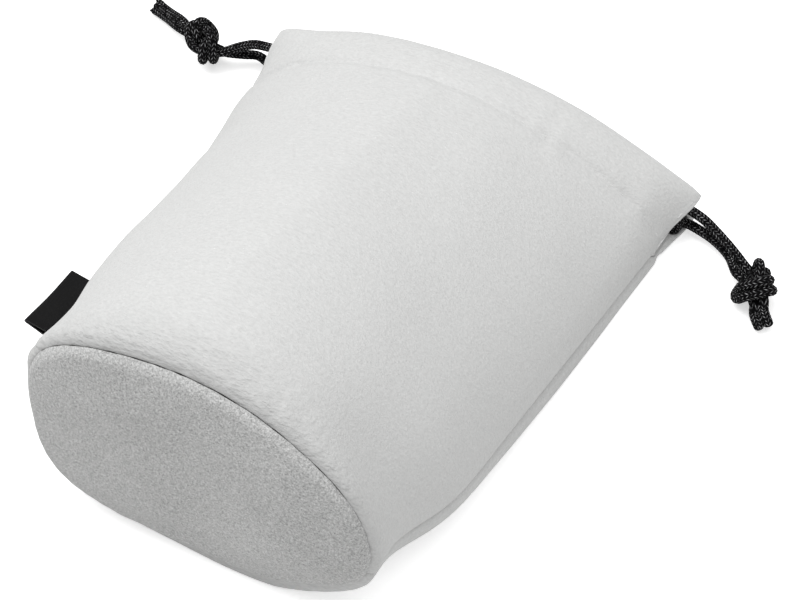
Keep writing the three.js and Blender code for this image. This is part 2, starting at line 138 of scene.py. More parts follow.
# Relief of the cloth and how far each kind of it reaches
SEAM_DIP = 1.8 * MM
SEAM_DIP_RUN = 1.2 * MM
SLIT_DIP = 0.15
SWAY_WAVE = 26 * MM
BASE_PUCKER = 0.26 * MM
PUCKER_WAVE = 1.15 * MM
PUCKER_RISE = 0.6
PUCKER_SWAY = 2.2
PUCKER_SLANT = 60
PUCKER_RUN = 5 * MM
BACK_PUCKER = 0.2
HEM_WAVE = 0.2 * MM
HEM_WAVELENGTH = 2.1 * MM
HEM_SWAY = 1.6
HEM_WAVE_RUN = 7 * MM
BACK_HEM_WAVE = 0.4
DIMPLE = 0.1 * MM
DIMPLE_RUN = 0.9 * MM
BROAD_UNEVEN = 0.42 * MM
BROAD_WAVE = 62 * MM
FINE_UNEVEN = 0.1 * MM
FINE_WAVE = 21 * MM
SEAM_CALM = 12 * MM
BASE_CALM = 10 * MM
END_PINCH = 0.15 * MM
END_PINCH_RUN = 5 * MM
END_PINCH_RISE = 6 * MM
RIM_PUCKER = 0.05 * MM
RIM_PUCKERS = 38
RIM_SWAY = 2
BASE_UNEVEN = 0.3 * MM
BASE_WAVE = 34 * MM

# Stitches
THREAD_SIDES = 8
STITCH_RINGS = 9
STITCH_GAP = 0.12
STITCH_BOW = 0.5
STITCH_SINK = 0.85
THREAD_ASIDE = (0.13, 0.31, 0.94)
BACK_STITCH_RAISE = 0.2 * MM
HEM_ROW_ENDS = (0.02, 0.98)
HEM_ROW_POINTS = 500
END_ROW_INSET = 1.8 * MM
END_ROW_POINTS = 60
SEAM_ROW_DEPTH = 2.75 * MM
SEAM_ROW_START = 3 * MM
SEAM_ROW_STOP = 2 * MM
SEAM_ROW_POINTS = 300
BASE_ROW_RUN = 0.9 * MM
BASE_ROW_GAP = 0.03
BASE_ROW_POINTS = 600

# Braid and ends of the cords: how rounded the near and far ends are, and how a far end frays
CORD_AROUND = 50
CORD_STEP = 0.17 * MM
CORD_LEAST = 40
BRAID_COLUMNS = 10
BRAID_SLANT = 1.1
YARN_ROUND = 0.7
COLUMN_ROUND = 0.6
CAP = 0.3
CUT_ENDS = (0.3, 0.3)
MELTED_ENDS = (0.3, 1.2)
FRAYED_ENDS = (0.3, 0.35)
FRAY_RUN = 0.45
FRAY_SPREAD = 0.25
FRAY_TUFT = 0.35
FRAY_WAVES = ((3, 1.0, 0.6), (7, 0.0, 0.4))

# Ways of the cords
EXIT_SHARES = np.array([0.1, 0.07, 0.035, 0.0])
OWN_LANES = {"left": 1.0, "right": -1.0}
FAR_LANE = -1.0
FAR_LANE_SHARES = (0.9, 0.98)
STRAND_POINTS = 900
RUN_POINTS = 60
RUN_TRIM = 6
BEND_OVERLAP = 4
BEND_POINTS = 160
FLOOR_CLEARANCE = 0.1 * MM

# Label
LABEL_BEND = 16
LABEL_STRAIGHT = 26
LABEL_ALONG = 70
LABEL_SWELL = 0.8 * MM
LABEL_CURL = 0.35 * MM

# Suede: grain, tone, the creases beside a seam and the painted shade there
PATCH_SCALE = 38.0
PATCH_TONE = 0.25
NAP_TONE = 1.5
FIBRE_FINER = 1.7
GRAIN_HEIGHT = 0.6
FIBRE_HEIGHT = 0.4
CREASE_SCALE = 1000.0
CREASE_LIE = (0.4, 1.0, 0.7)
SEAM_FADE = 5 * MM
# Painted shade beside the base seam: how much darker, at least and in the creases, and its dark colour
SEAM_PAINTED_SHADE = 0.2
SEAM_PAINTED_SHADE_LEAST = 0.6
SEAM_PAINTED_SHADE_CREASE = 0.8
SEAM_PAINTED_SHADE_TONE = 0.5
SEAM_WRINKLE = 2.8

# Thread, cord and label cloth, with the painted highlights on the cords' yarns
THREAD_TWIST = 40.0
THREAD_WIND = 12.566
THREAD_TONES = (0.78, 1.08)
THREAD_BUMP = 0.0001
# Painted highlights on the cords' yarn crowns: how their brightness is scattered, and how narrow they are
HIGHLIGHT_SCATTER_SCALE = 900.0
HIGHLIGHT_SCATTER_SPREAD = 3.2
HIGHLIGHT_SCATTER_LOSS = 1.2
HIGHLIGHT_YARN_POWER = 16.0
HIGHLIGHT_EDGE_POWER = 2.2
WARP = 16.0
WEFT = 21.0
WARP_SHARE = 0.55
WEAVE_SHARE = 0.6
WEAR_SCALE = 350.0
LABEL_TONES = (0.6, 1.5)
WEAVE_BUMP = 0.00012

# Stage
VIEW_AZIMUTH = math.radians(33.2)
VIEW_ELEVATION = math.radians(54.055)
VIEW_ROLL = math.radians(-6.446)
HALF_VIEW = math.radians(21.375 / 2)
VIEW_DISTANCE = 0.5345
VIEW_TARGET = (0.003374, 0.086467, -0.0094)
SENSOR_MM = 36
CLIP = (0.01, 20)
FLOOR_REACH = 3.0
FLOOR_POINTS = 5
FLOOR_DROP = 0.0002
FLOOR_GLOW = 0.5
SURROUND = 0.55
LAMPS = (
    ("key_lamp", (-0.5, 0.0, 1.3), 1.0, 12.0),
    ("top_lamp", (0.35, 0.1, 1.4), 1.2, 7.0),
)

# Points of the cords' routes in millimetres from the base, close to those of the solids
KNOTS = {
    "left": {"middle": (-77.7, 130.0), "heading": math.radians(172), "turn": math.radians(10)},
    "right": {"middle": (84.4, 118.1), "heading": math.radians(-43), "turn": math.radians(298)},
}
STRANDS = {
    ("left", "front"): [(-63.5, 132.6, 9.2), (-67.5, 131.6, 7.6)],
    ("left", "back"): [(-63.9, 133.9, 3.2), (-67.9, 132.3, 3.6)],
    ("right", "front"): [(66.5, 130.0, 7.2), (71.3, 128.0, 6.2), (76.2, 125.4, 5.4)],
    ("right", "back"): [(65.5, 129.7, 2.9), (70.4, 128.2, 2.9), (75.4, 125.1, 3.3)],
}
TAILS = {
    ("left", "front"): [(-87.1, 133.9, 6.2), (-93.4, 136.8, 4.2), (-99.2, 139.1, 3.2)],
    ("left", "back"): [(-87.7, 132.9, 4.2), (-94.3, 136.1, 2.3), (-100.0, 138.3, 1.5)],
    ("right", "front"): [(89.3, 113.2, 3.8), (92.1, 110.4, 2.0)],
    ("right", "back"): [(87.5, 111.9, 2.8), (90.4, 108.9, 1.7)],
}
EXIT_LANES = {
    ("left", "front"): 1.25,
    ("left", "back"): 1.1,
    ("right", "front"): 0.9,
    ("right", "back"): 0.6,
}

# The two strands of a tight overhand knot, in cord thicknesses along, across and above its axis
KNOT_STRANDS = (
    (
        (-2.09, -0.05, -0.20), (-1.51, -0.01, -0.08), (-0.95, 0.09, 0.10), (-0.44, 0.29, 0.34),
        (0.03, 0.42, 0.67), (0.29, 0.39, 1.20), (0.46, 0.31, 1.77), (0.77, 0.03, 2.17),
        (1.05, -0.47, 2.29), (1.17, -1.01, 2.09), (1.10, -1.37, 1.63), (0.88, -1.48, 1.10),
        (0.61, -1.46, 0.56), (0.33, -1.34, 0.05), (0.07, -0.95, -0.30), (-0.03, -0.39, -0.41),
        (0.09, 0.20, -0.44), (0.00, 0.77, -0.39), (-0.25, 1.25, -0.15), (-0.54, 1.68, 0.16),
        (-0.81, 1.97, 0.59), (-0.98, 1.96, 1.15), (-1.00, 1.65, 1.64), (-0.86, 1.13, 1.88),
        (-0.68, 0.59, 1.76), (-0.61, 0.10, 1.42), (-0.45, -0.35, 1.08), (-0.05, -0.56, 0.70),
        (0.45, -0.42, 0.41), (0.92, -0.18, 0.12), (1.45, -0.07, -0.09), (2.03, -0.08, -0.22),
    ),
    (
        (-2.09, 0.43, 0.69), (-1.49, 0.53, 0.80), (-0.98, 0.89, 0.87), (-0.44, 1.16, 0.99),
        (0.11, 1.35, 1.23), (0.69, 1.28, 1.43), (1.19, 0.95, 1.62), (1.57, 0.48, 1.79),
        (1.84, -0.08, 1.84), (1.93, -0.62, 1.56), (1.80, -0.94, 1.04), (1.56, -1.04, 0.47),
        (1.30, -1.05, -0.10), (1.02, -0.87, -0.62), (0.69, -0.58, -1.07), (0.23, -0.26, -1.36),
        (-0.28, 0.08, -1.34), (-0.71, 0.43, -1.03), (-1.03, 0.78, -0.62), (-1.35, 1.09, -0.18),
        (-1.66, 1.36, 0.30), (-1.85, 1.43, 0.88), (-1.87, 1.15, 1.44), (-1.74, 0.66, 1.80),
        (-1.50, 0.15, 2.06), (-1.07, -0.28, 2.21), (-0.51, -0.55, 2.15), (0.04, -0.66, 1.87),
        (0.52, -0.60, 1.47), (1.01, -0.33, 1.22), (1.47, -0.03, 0.93), (2.08, 0.02, 0.77),
    ),
)
KNOT_MIDDLE = (0.0, 0.25, 0.45)


def length(name, default_mm, description):
    """A size property given in millimetres and kept in metres."""
    size = default_mm * MM
    return FloatProperty(name=name, description=description, default=size, precision=5, unit="LENGTH")


def share(name, default, description):
    """A plain number property."""
    return FloatProperty(name=name, description=description, default=default, min=0.0)


def degrees(name, default, description):
    """An angle property given in degrees."""
    angle = math.radians(default)
    return FloatProperty(name=name, description=description, default=angle, subtype="ANGLE")


def tint(name, default, description):
    """A colour property."""
    return FloatVectorProperty(name=name, description=description, default=default, size=3, subtype="COLOR")


class PouchBody(bpy.types.PropertyGroup):
    """Sizes of the cloth body."""

    run: length("Length", 135, "Base to mouth")
    base_width: length("Base width", 87.8, "Across the base seam")
    base_rise: length("Base rise", 37, "From the side seams up to the base's front edge")
    seam_height: length("Seam height", 29.2, "Side seams above the surface, at the base")
    base_lift: length("Base lift", 2.9, "The base seam's lowest place above the surface")
    base_set_in: length("Base set-in", 1.15, "The base lies this far in from the end of the walls' measure")
    base_aside: length("Base aside", 0.65, "The base lies this far to the right of the mouth's middle")
    base_lean: degrees("Base lean", 7.1, "Lean of the base towards the mouth")
    mouth_width: length("Mouth width", 125, "Where the front and back curves would meet")
    mouth_arch: length("Mouth arch", 24.8, "Rise of the front hem above the mouth's corners")
    mouth_seam: length("Mouth corner height", 6.2, "Mouth corners above the surface")
    arch_power: share("Arch power", 1.5, "1 is an ellipse, higher is a sharper lens")
    shoulder: length("Shoulder", 9.2, "How far the front wall swells past the base seam")
    shoulder_run: length("Shoulder run", 7.8, "Length over which that swelling builds up")
    side_share: share("Side share", 0.45, "Share of that swelling at the right side seam")
    left_share: share("Left share", 0.68, "Share of that swelling at the left side seam")
    under_drop: length("Under drop", 8, "The back wall rolls down from the base seam to the surface")
    under_roll: length("Under roll", 2.6, "How far it rolls out under the base")
    roll_run: length("Roll run", 3.5, "Length over which it rolls")
    front_swell: length("Front swell", 3.4, "Extra crown of the front wall")
    back_swell: length("Back swell", 5, "How far the back wall bellies out")
    seam_draw: length("Seam draw", 2.8, "The side seams pull in at mid-length")
    seam_sag: length("Seam sag", 8.3, "The side seams hang lower at mid-length")
    base_press: share("Base press", 1.08, "How much too deep the oval is, so that it lies flat")
    mouth_press: share("Mouth press", 1.85, "The same at the mouth")
    cloth: length("Cloth", 1.2, "Thickness of the suede")
    seam_gap: length("Seam gap", 0.3, "Between cloth edges that are sewn together")
    base_dome: length("Base dome", 1.5, "The base's middle stands proud of its seam")
    base_flat: share("Base flat", 0.6, "Share of the base's radius that is flat")
    base_square: share("Base square", 0.8, "How much squarer than an ellipse the base is at its left")
    square_run: length("Square run", 55, "Length over which the walls lose that squareness")
    left_tuck: length("Left tuck", 5.2, "The left wall is drawn in beside the label")
    right_tuck: length("Right tuck", 4.6, "The right wall is drawn in beside the base")
    seam_drop: degrees("Seam drop", 15, "The right side seam turns down round the body at the base")
    drop_run: length("Drop run", 40, "Length over which it comes back up")


class PouchHem(bpy.types.PropertyGroup):
    """Sizes of the hem and its tunnel."""

    height: length("Height", 15.5, "Mouth edge to stitches")
    tunnel: length("Tunnel", 6, "Mouth edge to the tunnel's middle")
    puff: length("Puff", 1.5, "The front hem swells outwards")
    allowance: length("Allowance", 2.5, "Cloth below the stitches")
    slit: length("Slit", 19, "Open part of the side seams")
    slit_ease: length("Slit ease", 19, "Length over which the hem ends part")
    end_angle: degrees("End angle", 17, "Where the hems end, round the mouth")
    flare_out: length("Flare out", 4.1, "The front hem's right end stands out")
    flare_up: length("Flare up", -0.6, "And up")
    left_up: length("Left up", 3.8, "The front hem's left end stands up")
    left_in: length("Left in", 2.4, "It is drawn in")
    left_on: length("Left on", 1.0, "And reaches on past the mouth")
    back_flare: length("Back flare", 3.2, "The back hem's right end stands out")
    flare_from: share("Flare from", 0.6, "Share of the mouth's half width where the flare starts")
    room: length("Room", 0.6, "Between the cords and the tunnel")
    stitch: length("Stitch", 2.9, "Length of one stitch with its gap")
    thread: length("Thread", 0.34, "Thickness of the sewing thread")


class PouchCords(bpy.types.PropertyGroup):
    """Sizes of the drawcords and knots."""

    diameter: length("Diameter", 2.4, "Thickness of the cord")
    gap: length("Gap", 0.8, "Between the two cords in one tunnel")
    thickness: length("Thickness", 2.6, "Thickness of the cord where nothing presses it")
    loop: length("Loop", 0.2, "How far a cord loops out between the two tunnels")
    pick: length("Pick", 1.0, "Length of one braid stitch")
    relief: length("Relief", 0.13, "Depth of the braid")


class PouchLabel(bpy.types.PropertyGroup):
    """Sizes of the side label."""

    start: length("Start", 21.8, "From the base")
    run: length("Length", 20.2, "Along the side seam")
    reach: length("Reach", 15.6, "From inside the dent to the fold")
    cloth: length("Cloth", 0.6, "Thickness of the ribbon")
    fold_gap: length("Fold gap", 0.4, "Between the ribbon's two layers")
    seat: length("Seat", -4.7, "Where the ribbon starts, out from the undented seam")
    tilt: degrees("Tilt", 20, "Upwards from level")


class PouchFinish(bpy.types.PropertyGroup):
    """Colours of the pouch."""

    suede: tint("Suede", (0.567, 0.569, 0.564), "Walls and hems")
    # The base's suede colour, darker than the walls': painted shade of a base that faces away from the lamps
    base_suede: tint("Base suede", (0.44, 0.441, 0.437), "Oval base")
    thread: tint("Thread", (0.66, 0.662, 0.655), "Sewing thread")
    cord: tint("Cord", (0.0028, 0.0028, 0.003), "Drawcords")
    # Colour of the painted highlights on the crowns of the cords' yarns
    cord_highlight: tint("Cord light", (0.56, 0.56, 0.57), "Crowns of the cords' yarns")
    label: tint("Label", (0.005, 0.005, 0.0052), "Woven label")
    floor: tint("Floor", (0.86, 0.86, 0.86), "Studio floor")


def shift():
    """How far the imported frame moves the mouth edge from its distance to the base."""
    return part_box("front_panel")[1].y - bpy.context.scene.pouch_body.run


def smoothstep(value, low, high):
    """From 0 at the low value to 1 at the high one, level at both."""
    t = np.clip((value - low) / (high - low), 0, 1)
    return t * t * (3 - 2 * t)


def fade(distance, reach):
    """1 at no distance, dying away over the reach."""
    return np.exp(-distance / reach)


def hump(distance, reach):
    """1 at no distance, dying away to both sides like a bell."""
    return np.exp(-((distance / reach) ** 2))


def unit(vectors):
    """Vectors of length 1."""
    return vectors / np.maximum(np.linalg.norm(vectors, axis=-1, keepdims=True), TINY)


def smooth_path(points, count):
    """A Catmull-Rom curve through the points, resampled to equal steps along its length."""
    p = np.asarray(points, float)
    p = np.vstack([2 * p[0] - p[1], p, 2 * p[-1] - p[-2]])
    knots = np.concatenate([[0], np.cumsum(np.sqrt(np.linalg.norm(np.diff(p, axis=0), axis=1)))])
    where = np.linspace(knots[1], knots[-2], SPAN_STEPS * (len(p) - 3) + 1)
    piece = np.clip(np.searchsorted(knots, where, side="right") - 1, 1, len(p) - 3)

    def between(a, b, low, high):
        f = ((where - low) / (high - low))[:, None]
        return a * (1 - f) + b * f

    k = [knots[piece + i] for i in (-1, 0, 1, 2)]
    q = [p[piece + i] for i in (-1, 0, 1, 2)]
    first = [between(q[i], q[i + 1], k[i], k[i + 1]) for i in range(3)]
    second = [between(first[i], first[i + 1], k[i], k[i + 2]) for i in range(2)]
    return resample(between(second[0], second[1], k[1], k[2]), count)


def resample(curve, count):
    """The same line with its points at equal steps."""
    steps = np.concatenate([[0], np.cumsum(np.linalg.norm(np.diff(curve, axis=0), axis=1))])
    even = np.linspace(0, steps[-1], count)
    return np.stack([np.interp(even, steps, curve[:, i]) for i in range(curve.shape[1])], axis=1)


def path_length(path):
    """Length of a line of points."""
    return float(np.linalg.norm(np.diff(path, axis=0), axis=1).sum())


def ripple(points, wave, seed, waves=9):
    """A smooth random field of about unit height: sines of one wavelength range in random directions."""
    rng = np.random.default_rng(seed)
    directions = unit(rng.normal(size=(waves, 3)))
    directions = directions * (2 * math.pi / (wave * rng.uniform(*WAVE_RANGE, (waves, 1))))
    phases = rng.uniform(0, 2 * math.pi, waves)
    return np.sin(points @ directions.T + phases).sum(axis=-1) / math.sqrt(waves / 2)


def base_oval(body, angle, square):
    """The base seam, across and up from the middle of the side seams: an ellipse, squarer to the left,
    pressed flat underneath, and wider and lifted at its lower right."""
    across, side = np.cos(angle), np.sin(angle)
    left = smoothstep(-across, 0, SQUARE_FULL) * (1 - LEFT_SQUARE_TILT * side)
    low_right = LOW_RIGHT_SQUARE * smoothstep(across, 0, SQUARE_FULL) * smoothstep(-side, 0, LOW_FULL)
    power = 2 / (2 + square * (left + low_right))
    across = np.sign(across) * np.abs(across) ** power
    side = np.sign(side) * np.abs(side) ** power
    depth = body.seam_height - body.base_lift
    up = np.where(side >= 0, body.base_rise * side, depth * np.maximum(-1, body.base_press * side))
    up = up + RIGHT_LIFT * smoothstep(across, 0, LIFT_FULL) * smoothstep(-side, 0, LIFT_FULL)
    return body.base_width / 2 * across + RIGHT_WIDEN * smoothstep(across, WIDEN_FROM, 1), up


def base_plane(body, across, up):
    """A point of the plane of the base seam, which leans towards the mouth at the top."""
    y = body.base_set_in + up * math.tan(body.base_lean) + shift()
    return np.stack([body.base_aside + across, y, body.seam_height + up], axis=-1)


def hem_flare(body, hem, across, run):
    """How far a hem's right end stands out, from 0 below the slit to 1 at the mouth's corner."""
    rise = smoothstep(run, body.run - hem.slit, body.run)
    return rise**FLARE_POWER * smoothstep(across, hem.flare_from, 1)


def wall_tuck(body, across, run):
    """How far the walls are drawn in sideways: dents beside the label and, on the right, beside the base."""
    left = body.left_tuck * hump(run - LEFT_TUCK_AT, LEFT_TUCK_RUN)
    right = body.right_tuck * hump(run - RIGHT_TUCK_AT, RIGHT_TUCK_RUN)
    inwards = left * smoothstep(-across, *LEFT_TUCK_ROUND) - right * smoothstep(across, *RIGHT_TUCK_ROUND)
    return inwards * (1 - fade(run, TUCK_START))


def wall_point(body, angle, run):
    """Outer face of the walls: straight lines from the base oval to the mouth's curve, then swollen past the
    base seam, drawn in and sagged at the side seams, rolled under the base and pressed on the surface."""
    hem = bpy.context.scene.pouch_hem
    across, side = np.cos(angle), np.sin(angle)
    front = side >= 0
    along = run / body.run
    base = base_plane(body, *base_oval(body, angle, body.base_square * fade(run, body.square_run)))
    arch = body.mouth_seam + body.mouth_arch * np.abs(side) ** body.arch_power
    pressed = body.mouth_seam * np.maximum(0, 1 - body.mouth_press * np.sqrt(np.abs(side)))
    middle = 4 * along * (1 - along)
    shoulder = body.shoulder * (1 - fade(run, body.shoulder_run)) * (1 - along)
    flare = hem_flare(body, hem, across, run)
    left_flare = hem_flare(body, hem, -across, run)
    left_draw = hem_flare(body, hem, -across, run + hem.slit / 2)
    rolled = run / body.roll_run
    under = np.where(front, 0, side)
    x = base[..., 0] * (1 - along) + body.mouth_width / 2 * across * along
    side_share = np.where(across >= 0, body.side_share, body.left_share)
    x = x + across * (side_share * shoulder - (body.seam_draw + under * body.back_swell) * middle)
    x = x + np.where(front, hem.flare_out, hem.back_flare) * flare + hem.left_in * left_draw
    x = x + wall_tuck(body, across, run)
    y = base[..., 1] * (1 - along) + (body.run + shift()) * along
    under_roll = body.under_roll * (1 - LEFT_UNDER * smoothstep(-across, *LEFT_UNDER_ROUND))
    y = y + hem.left_on * left_flare + under * under_roll * rolled * np.exp(1 - rolled)
    z = base[..., 2] * (1 - along) + np.where(front, arch, pressed) * along
    z = z - body.seam_sag * middle * np.abs(across)
    z = z + under * body.under_drop * (1 - np.exp(-rolled)) * (1 - along)
    raised = side * (shoulder + body.front_swell * middle) + hem.flare_up * flare
    raised = raised + hem.left_up * left_flare
    gap = body.seam_gap * smoothstep(side, -SEAM_EASE, SEAM_EASE)
    return np.stack([x, y, np.where(front, z + raised, np.maximum(0, z)) + gap], axis=-1)


def cloth_point(body, angle, run, depth):
    """A point at a depth inside the outer face; the thickness turns upright towards the mouth."""
    side = np.sin(angle)
    flatten = 1 - np.where(side >= 0, FRONT_TURN, BACK_TURN) * run / body.run
    inward = unit(np.stack([-np.cos(angle) * flatten, 0 * angle, -side], axis=-1))
    return wall_point(body, angle, run) + inward * np.asarray(depth)[..., None]


def seam_drop(body, run):
    """How far the right side seam turns down round the body, dying away from the base."""
    return body.seam_drop * fade(run, body.drop_run)


def wall_angle(body, hem, width_share, run, back):
    """Angle round the body at a share of one wall's width; the side edges part along the slit, and the right
    one turns down towards the base."""
    slit = body.run - hem.slit
    edge = hem.end_angle * (1 - (1 - np.clip((run - slit) / hem.slit_ease, 0, 1)) ** SLIT_POWER)
    right = -seam_drop(body, run)
    start, end = (math.pi + edge, 2 * math.pi + right - edge) if back else (right + edge, math.pi - edge)
    return start + width_share * (end - start)


def tunnel_sizes(body, hem, cords, back):
    """Middle of the tunnel from the base, its depth in the cloth, its half sizes along and through it."""
    half = cords.diameter / 2 + hem.room
    rise = cords.diameter + cords.gap / 2 + hem.room
    depth = body.cloth + half - (0 if back else hem.puff)
    return body.run - hem.tunnel, depth, rise, half


def grid_quads(rows, columns, start, wrap_rows=False, wrap_columns=False):
    """Vertex numbers of the quads of a grid of points, closed round either way where asked."""
    index = np.arange(rows * columns).reshape(rows, columns)
    index = np.vstack([index, index[:1]]) if wrap_rows else index
    index = np.hstack([index, index[:, :1]]) if wrap_columns else index
    corners = (index[:-1, :-1], index[1:, :-1], index[1:, 1:], index[:-1, 1:])
    return start + np.stack([c.ravel() for c in corners], axis=1)


def mesh_piece(name, grids, material, uv=None):
    """One object from grids of points, each with flags that say which way it closes. Points that coincide
    are merged, the faces are turned outwards, and folds past the sharp angle stay sharp."""
    points, quads, start = [], [], 0
    for grid, wrap_rows, wrap_columns in grids:
        rows, columns = grid.shape[:2]
        points.append(grid.reshape(-1, 3))
        quads.append(grid_quads(rows, columns, start, wrap_rows, wrap_columns))
        start += rows * columns
    mesh = bpy.data.meshes.new(name)
    mesh.from_pydata(np.vstack(points).tolist(), [], np.vstack(quads).tolist())
    if uv is not None:
        layer = mesh.uv_layers.new(name="UVMap")
        loops = np.empty(len(mesh.loops), int)
        mesh.loops.foreach_get("vertex_index", loops)
        layer.data.foreach_set("uv", uv(loops).astype(np.float32).ravel())
    work = bmesh.new()
    work.from_mesh(mesh)
    bmesh.ops.remove_doubles(work, verts=work.verts, dist=MERGE)
    bmesh.ops.dissolve_degenerate(work, edges=work.edges, dist=MERGE)
    bmesh.ops.recalc_face_normals(work, faces=work.faces)
    work.to_mesh(mesh)
    work.free()
    mesh.shade_smooth()
    mesh.set_sharp_from_angle(angle=SHARP_ANGLE)
    mesh.materials.append(material)
    piece = bpy.data.objects.new(name, mesh)
    bpy.context.scene.collection.objects.link(piece)
    return piece


def tube_frames(path):
    """Tangents and a pair of turning-free normals along a path, carried from station to station."""
    tangent = unit(np.gradient(path, axis=0))
    normal = np.empty_like(path)
    first = np.cross(tangent[0], (0, 0, 1))
    normal[0] = unit(first if np.linalg.norm(first) > UPRIGHT else np.cross(tangent[0], (1, 0, 0)))
    for i in range(1, len(path)):
        carried = normal[i - 1] - tangent[i] * (normal[i - 1] @ tangent[i])
        normal[i] = carried / np.linalg.norm(carried)
    return tangent, normal, np.cross(tangent, normal)


def math_method(operation, reflected=False):
    """A method of Shade that adds one Math node, with its two values swapped in the reflected form."""

    def method(self, other=0.0):
        values = (other, self) if reflected else (self, other)
        node = self.tree.nodes.new("ShaderNodeMath")
        node.operation = operation
        for socket, value in zip(node.inputs, values):
            plug(self.tree, socket, value)
        return Shade(self.tree, node.outputs[0])

    return method


class Shade:
    """A socket of a node tree. Arithmetic on it adds Math nodes."""

    def __init__(self, tree, socket):
        self.tree = tree
        self.socket = socket

    __add__ = math_method("ADD")
    __radd__ = math_method("ADD", reflected=True)
    __sub__ = math_method("SUBTRACT")
    __rsub__ = math_method("SUBTRACT", reflected=True)
    __mul__ = math_method("MULTIPLY")
    __rmul__ = math_method("MULTIPLY", reflected=True)
    __truediv__ = math_method("DIVIDE")
    __rtruediv__ = math_method("DIVIDE", reflected=True)
    __pow__ = math_method("POWER")
    __rpow__ = math_method("POWER", reflected=True)
    sine = math_method("SINE")
    cosine = math_method("COSINE")
    fraction = math_method("FRACT")
    modulo = math_method("MODULO")
    size = math_method("ABSOLUTE")


def plug(tree, socket, value):
    """Links a shade into a socket, or sets the socket's own value."""
    if isinstance(value, Shade):
        tree.links.new(value.socket, socket)
    else:
        socket.default_value = value


class Finish:
    """A material under construction; node() adds one node of any type."""

    def __init__(self, name):
        self.material = bpy.data.materials.new(name)
        self.material.use_nodes = True
        self.tree = self.material.node_tree
        self.tree.nodes.clear()
        self.output = self.tree.nodes.new("ShaderNodeOutputMaterial")

    def node(self, kind, out, *values, **sockets):
        """Adds a node: its type, the output wanted, then its sockets' values in order or by name."""
        node = self.tree.nodes.new("ShaderNode" + kind)
        for socket, value in zip(node.inputs, values):
            plug(self.tree, socket, value)
        named = {s.name.replace(" ", "_"): s for s in node.inputs if s.enabled}
        for key, value in sockets.items():
            plug(self.tree, named[key], value)
        return Shade(self.tree, node.outputs[out])

    def axes(self, where):
        """The three parts of a vector."""
        return [self.node("SeparateXYZ", part, where) for part in range(3)]

    def noise(self, where, scale, detail=2.0, roughness=0.6):
        """A noise texture's value."""
        return self.node("TexNoise", "Fac", Vector=where, Scale=scale, Detail=detail, Roughness=roughness)

    def mix(self, factor, first, second):
        """One colour turned into another by a factor."""
        node = self.tree.nodes.new("ShaderNodeMix")
        node.data_type = "RGBA"
        plug(self.tree, node.inputs[0], factor)
        for socket, value in ((node.inputs[6], first), (node.inputs[7], second)):
            plug(self.tree, socket, value if isinstance(value, Shade) else (*value, 1.0))
        return Shade(self.tree, node.outputs[2])

    def bump(self, height, distance, strength):
        """A normal from a height."""
        return self.node("Bump", "Normal", Height=height, Distance=distance, Strength=strength)

    def close(self, **sockets):
        """Ends in one Principled shader with these sockets."""
        return self.end(self.node("BsdfPrincipled", "BSDF", **sockets))

    def end(self, surface):
        """Ends in this surface."""
        plug(self.tree, self.output.inputs["Surface"], surface)
        return self.material


def scaled(colour, factor):
    """A colour made darker or lighter."""
    return tuple(min(1.0, c * factor) for c in colour)


def suede_finish(name, colour, nap, span, depth, stretch, seam=None):
    """Brushed suede on Object coordinates: a broad patchy tone, a nap of the given grain and fine fibres,
    stretched along the lie of the nap. Beside a seam, a lean and a place, it is creased and darkened with
    painted shade."""
    finish = Finish(name)
    where = finish.node("TexCoord", "Object")
    lie = finish.node("Mapping", "Vector", Vector=where, Scale=(stretch, 1.0, 1.0))
    patch = finish.noise(where, PATCH_SCALE, detail=3.0, roughness=0.55)
    grain = finish.noise(lie, nap)
    fibre = finish.noise(lie, nap * FIBRE_FINER)
    tone = (patch - 0.5) * PATCH_TONE + (grain - 0.5) * NAP_TONE + (fibre - 0.5) * NAP_TONE
    shade = finish.mix(tone + 0.5, scaled(colour, 1 - span), scaled(colour, 1 + span))
    height = grain * GRAIN_HEIGHT + fibre * FIBRE_HEIGHT
    if seam:
        lean, place = seam
        _, along, up = finish.axes(where)
        near = math.e ** ((up * math.tan(lean) - along + place) / SEAM_FADE)
        crease_lie = finish.node("Mapping", "Vector", Vector=where, Scale=CREASE_LIE)
        crease = finish.noise(crease_lie, CREASE_SCALE, roughness=0.5)
        # Painted shade: the suede's colour is darkened towards the base seam, more in its creases
        darker = near * (crease * SEAM_PAINTED_SHADE_CREASE + SEAM_PAINTED_SHADE_LEAST) * SEAM_PAINTED_SHADE
        shade = finish.mix(darker, shade, scaled(colour, SEAM_PAINTED_SHADE_TONE))
        height = height + near * crease * SEAM_WRINKLE
    return finish.close(
        Base_Color=shade,
        Roughness=0.96,
        Specular_IOR_Level=0.12,
        Sheen_Weight=0.12,
        Sheen_Roughness=0.5,
        Normal=finish.bump(height, depth, strength=0.7),
    )


def thread_finish(colour):
    """Twisted thread: dark lines that wind across its length, by the piece's own UV."""
    finish = Finish("tonal_thread")
    along, around, _ = finish.axes(finish.node("TexCoord", "UV"))
    twist = (along * THREAD_TWIST + around * THREAD_WIND).sine() * 0.5 + 0.5
    dark, light = THREAD_TONES
    return finish.close(
        Base_Color=finish.mix(twist, scaled(colour, dark), scaled(colour, light)),
        Roughness=0.7,
        Normal=finish.bump(twist, THREAD_BUMP, strength=0.5),
    )


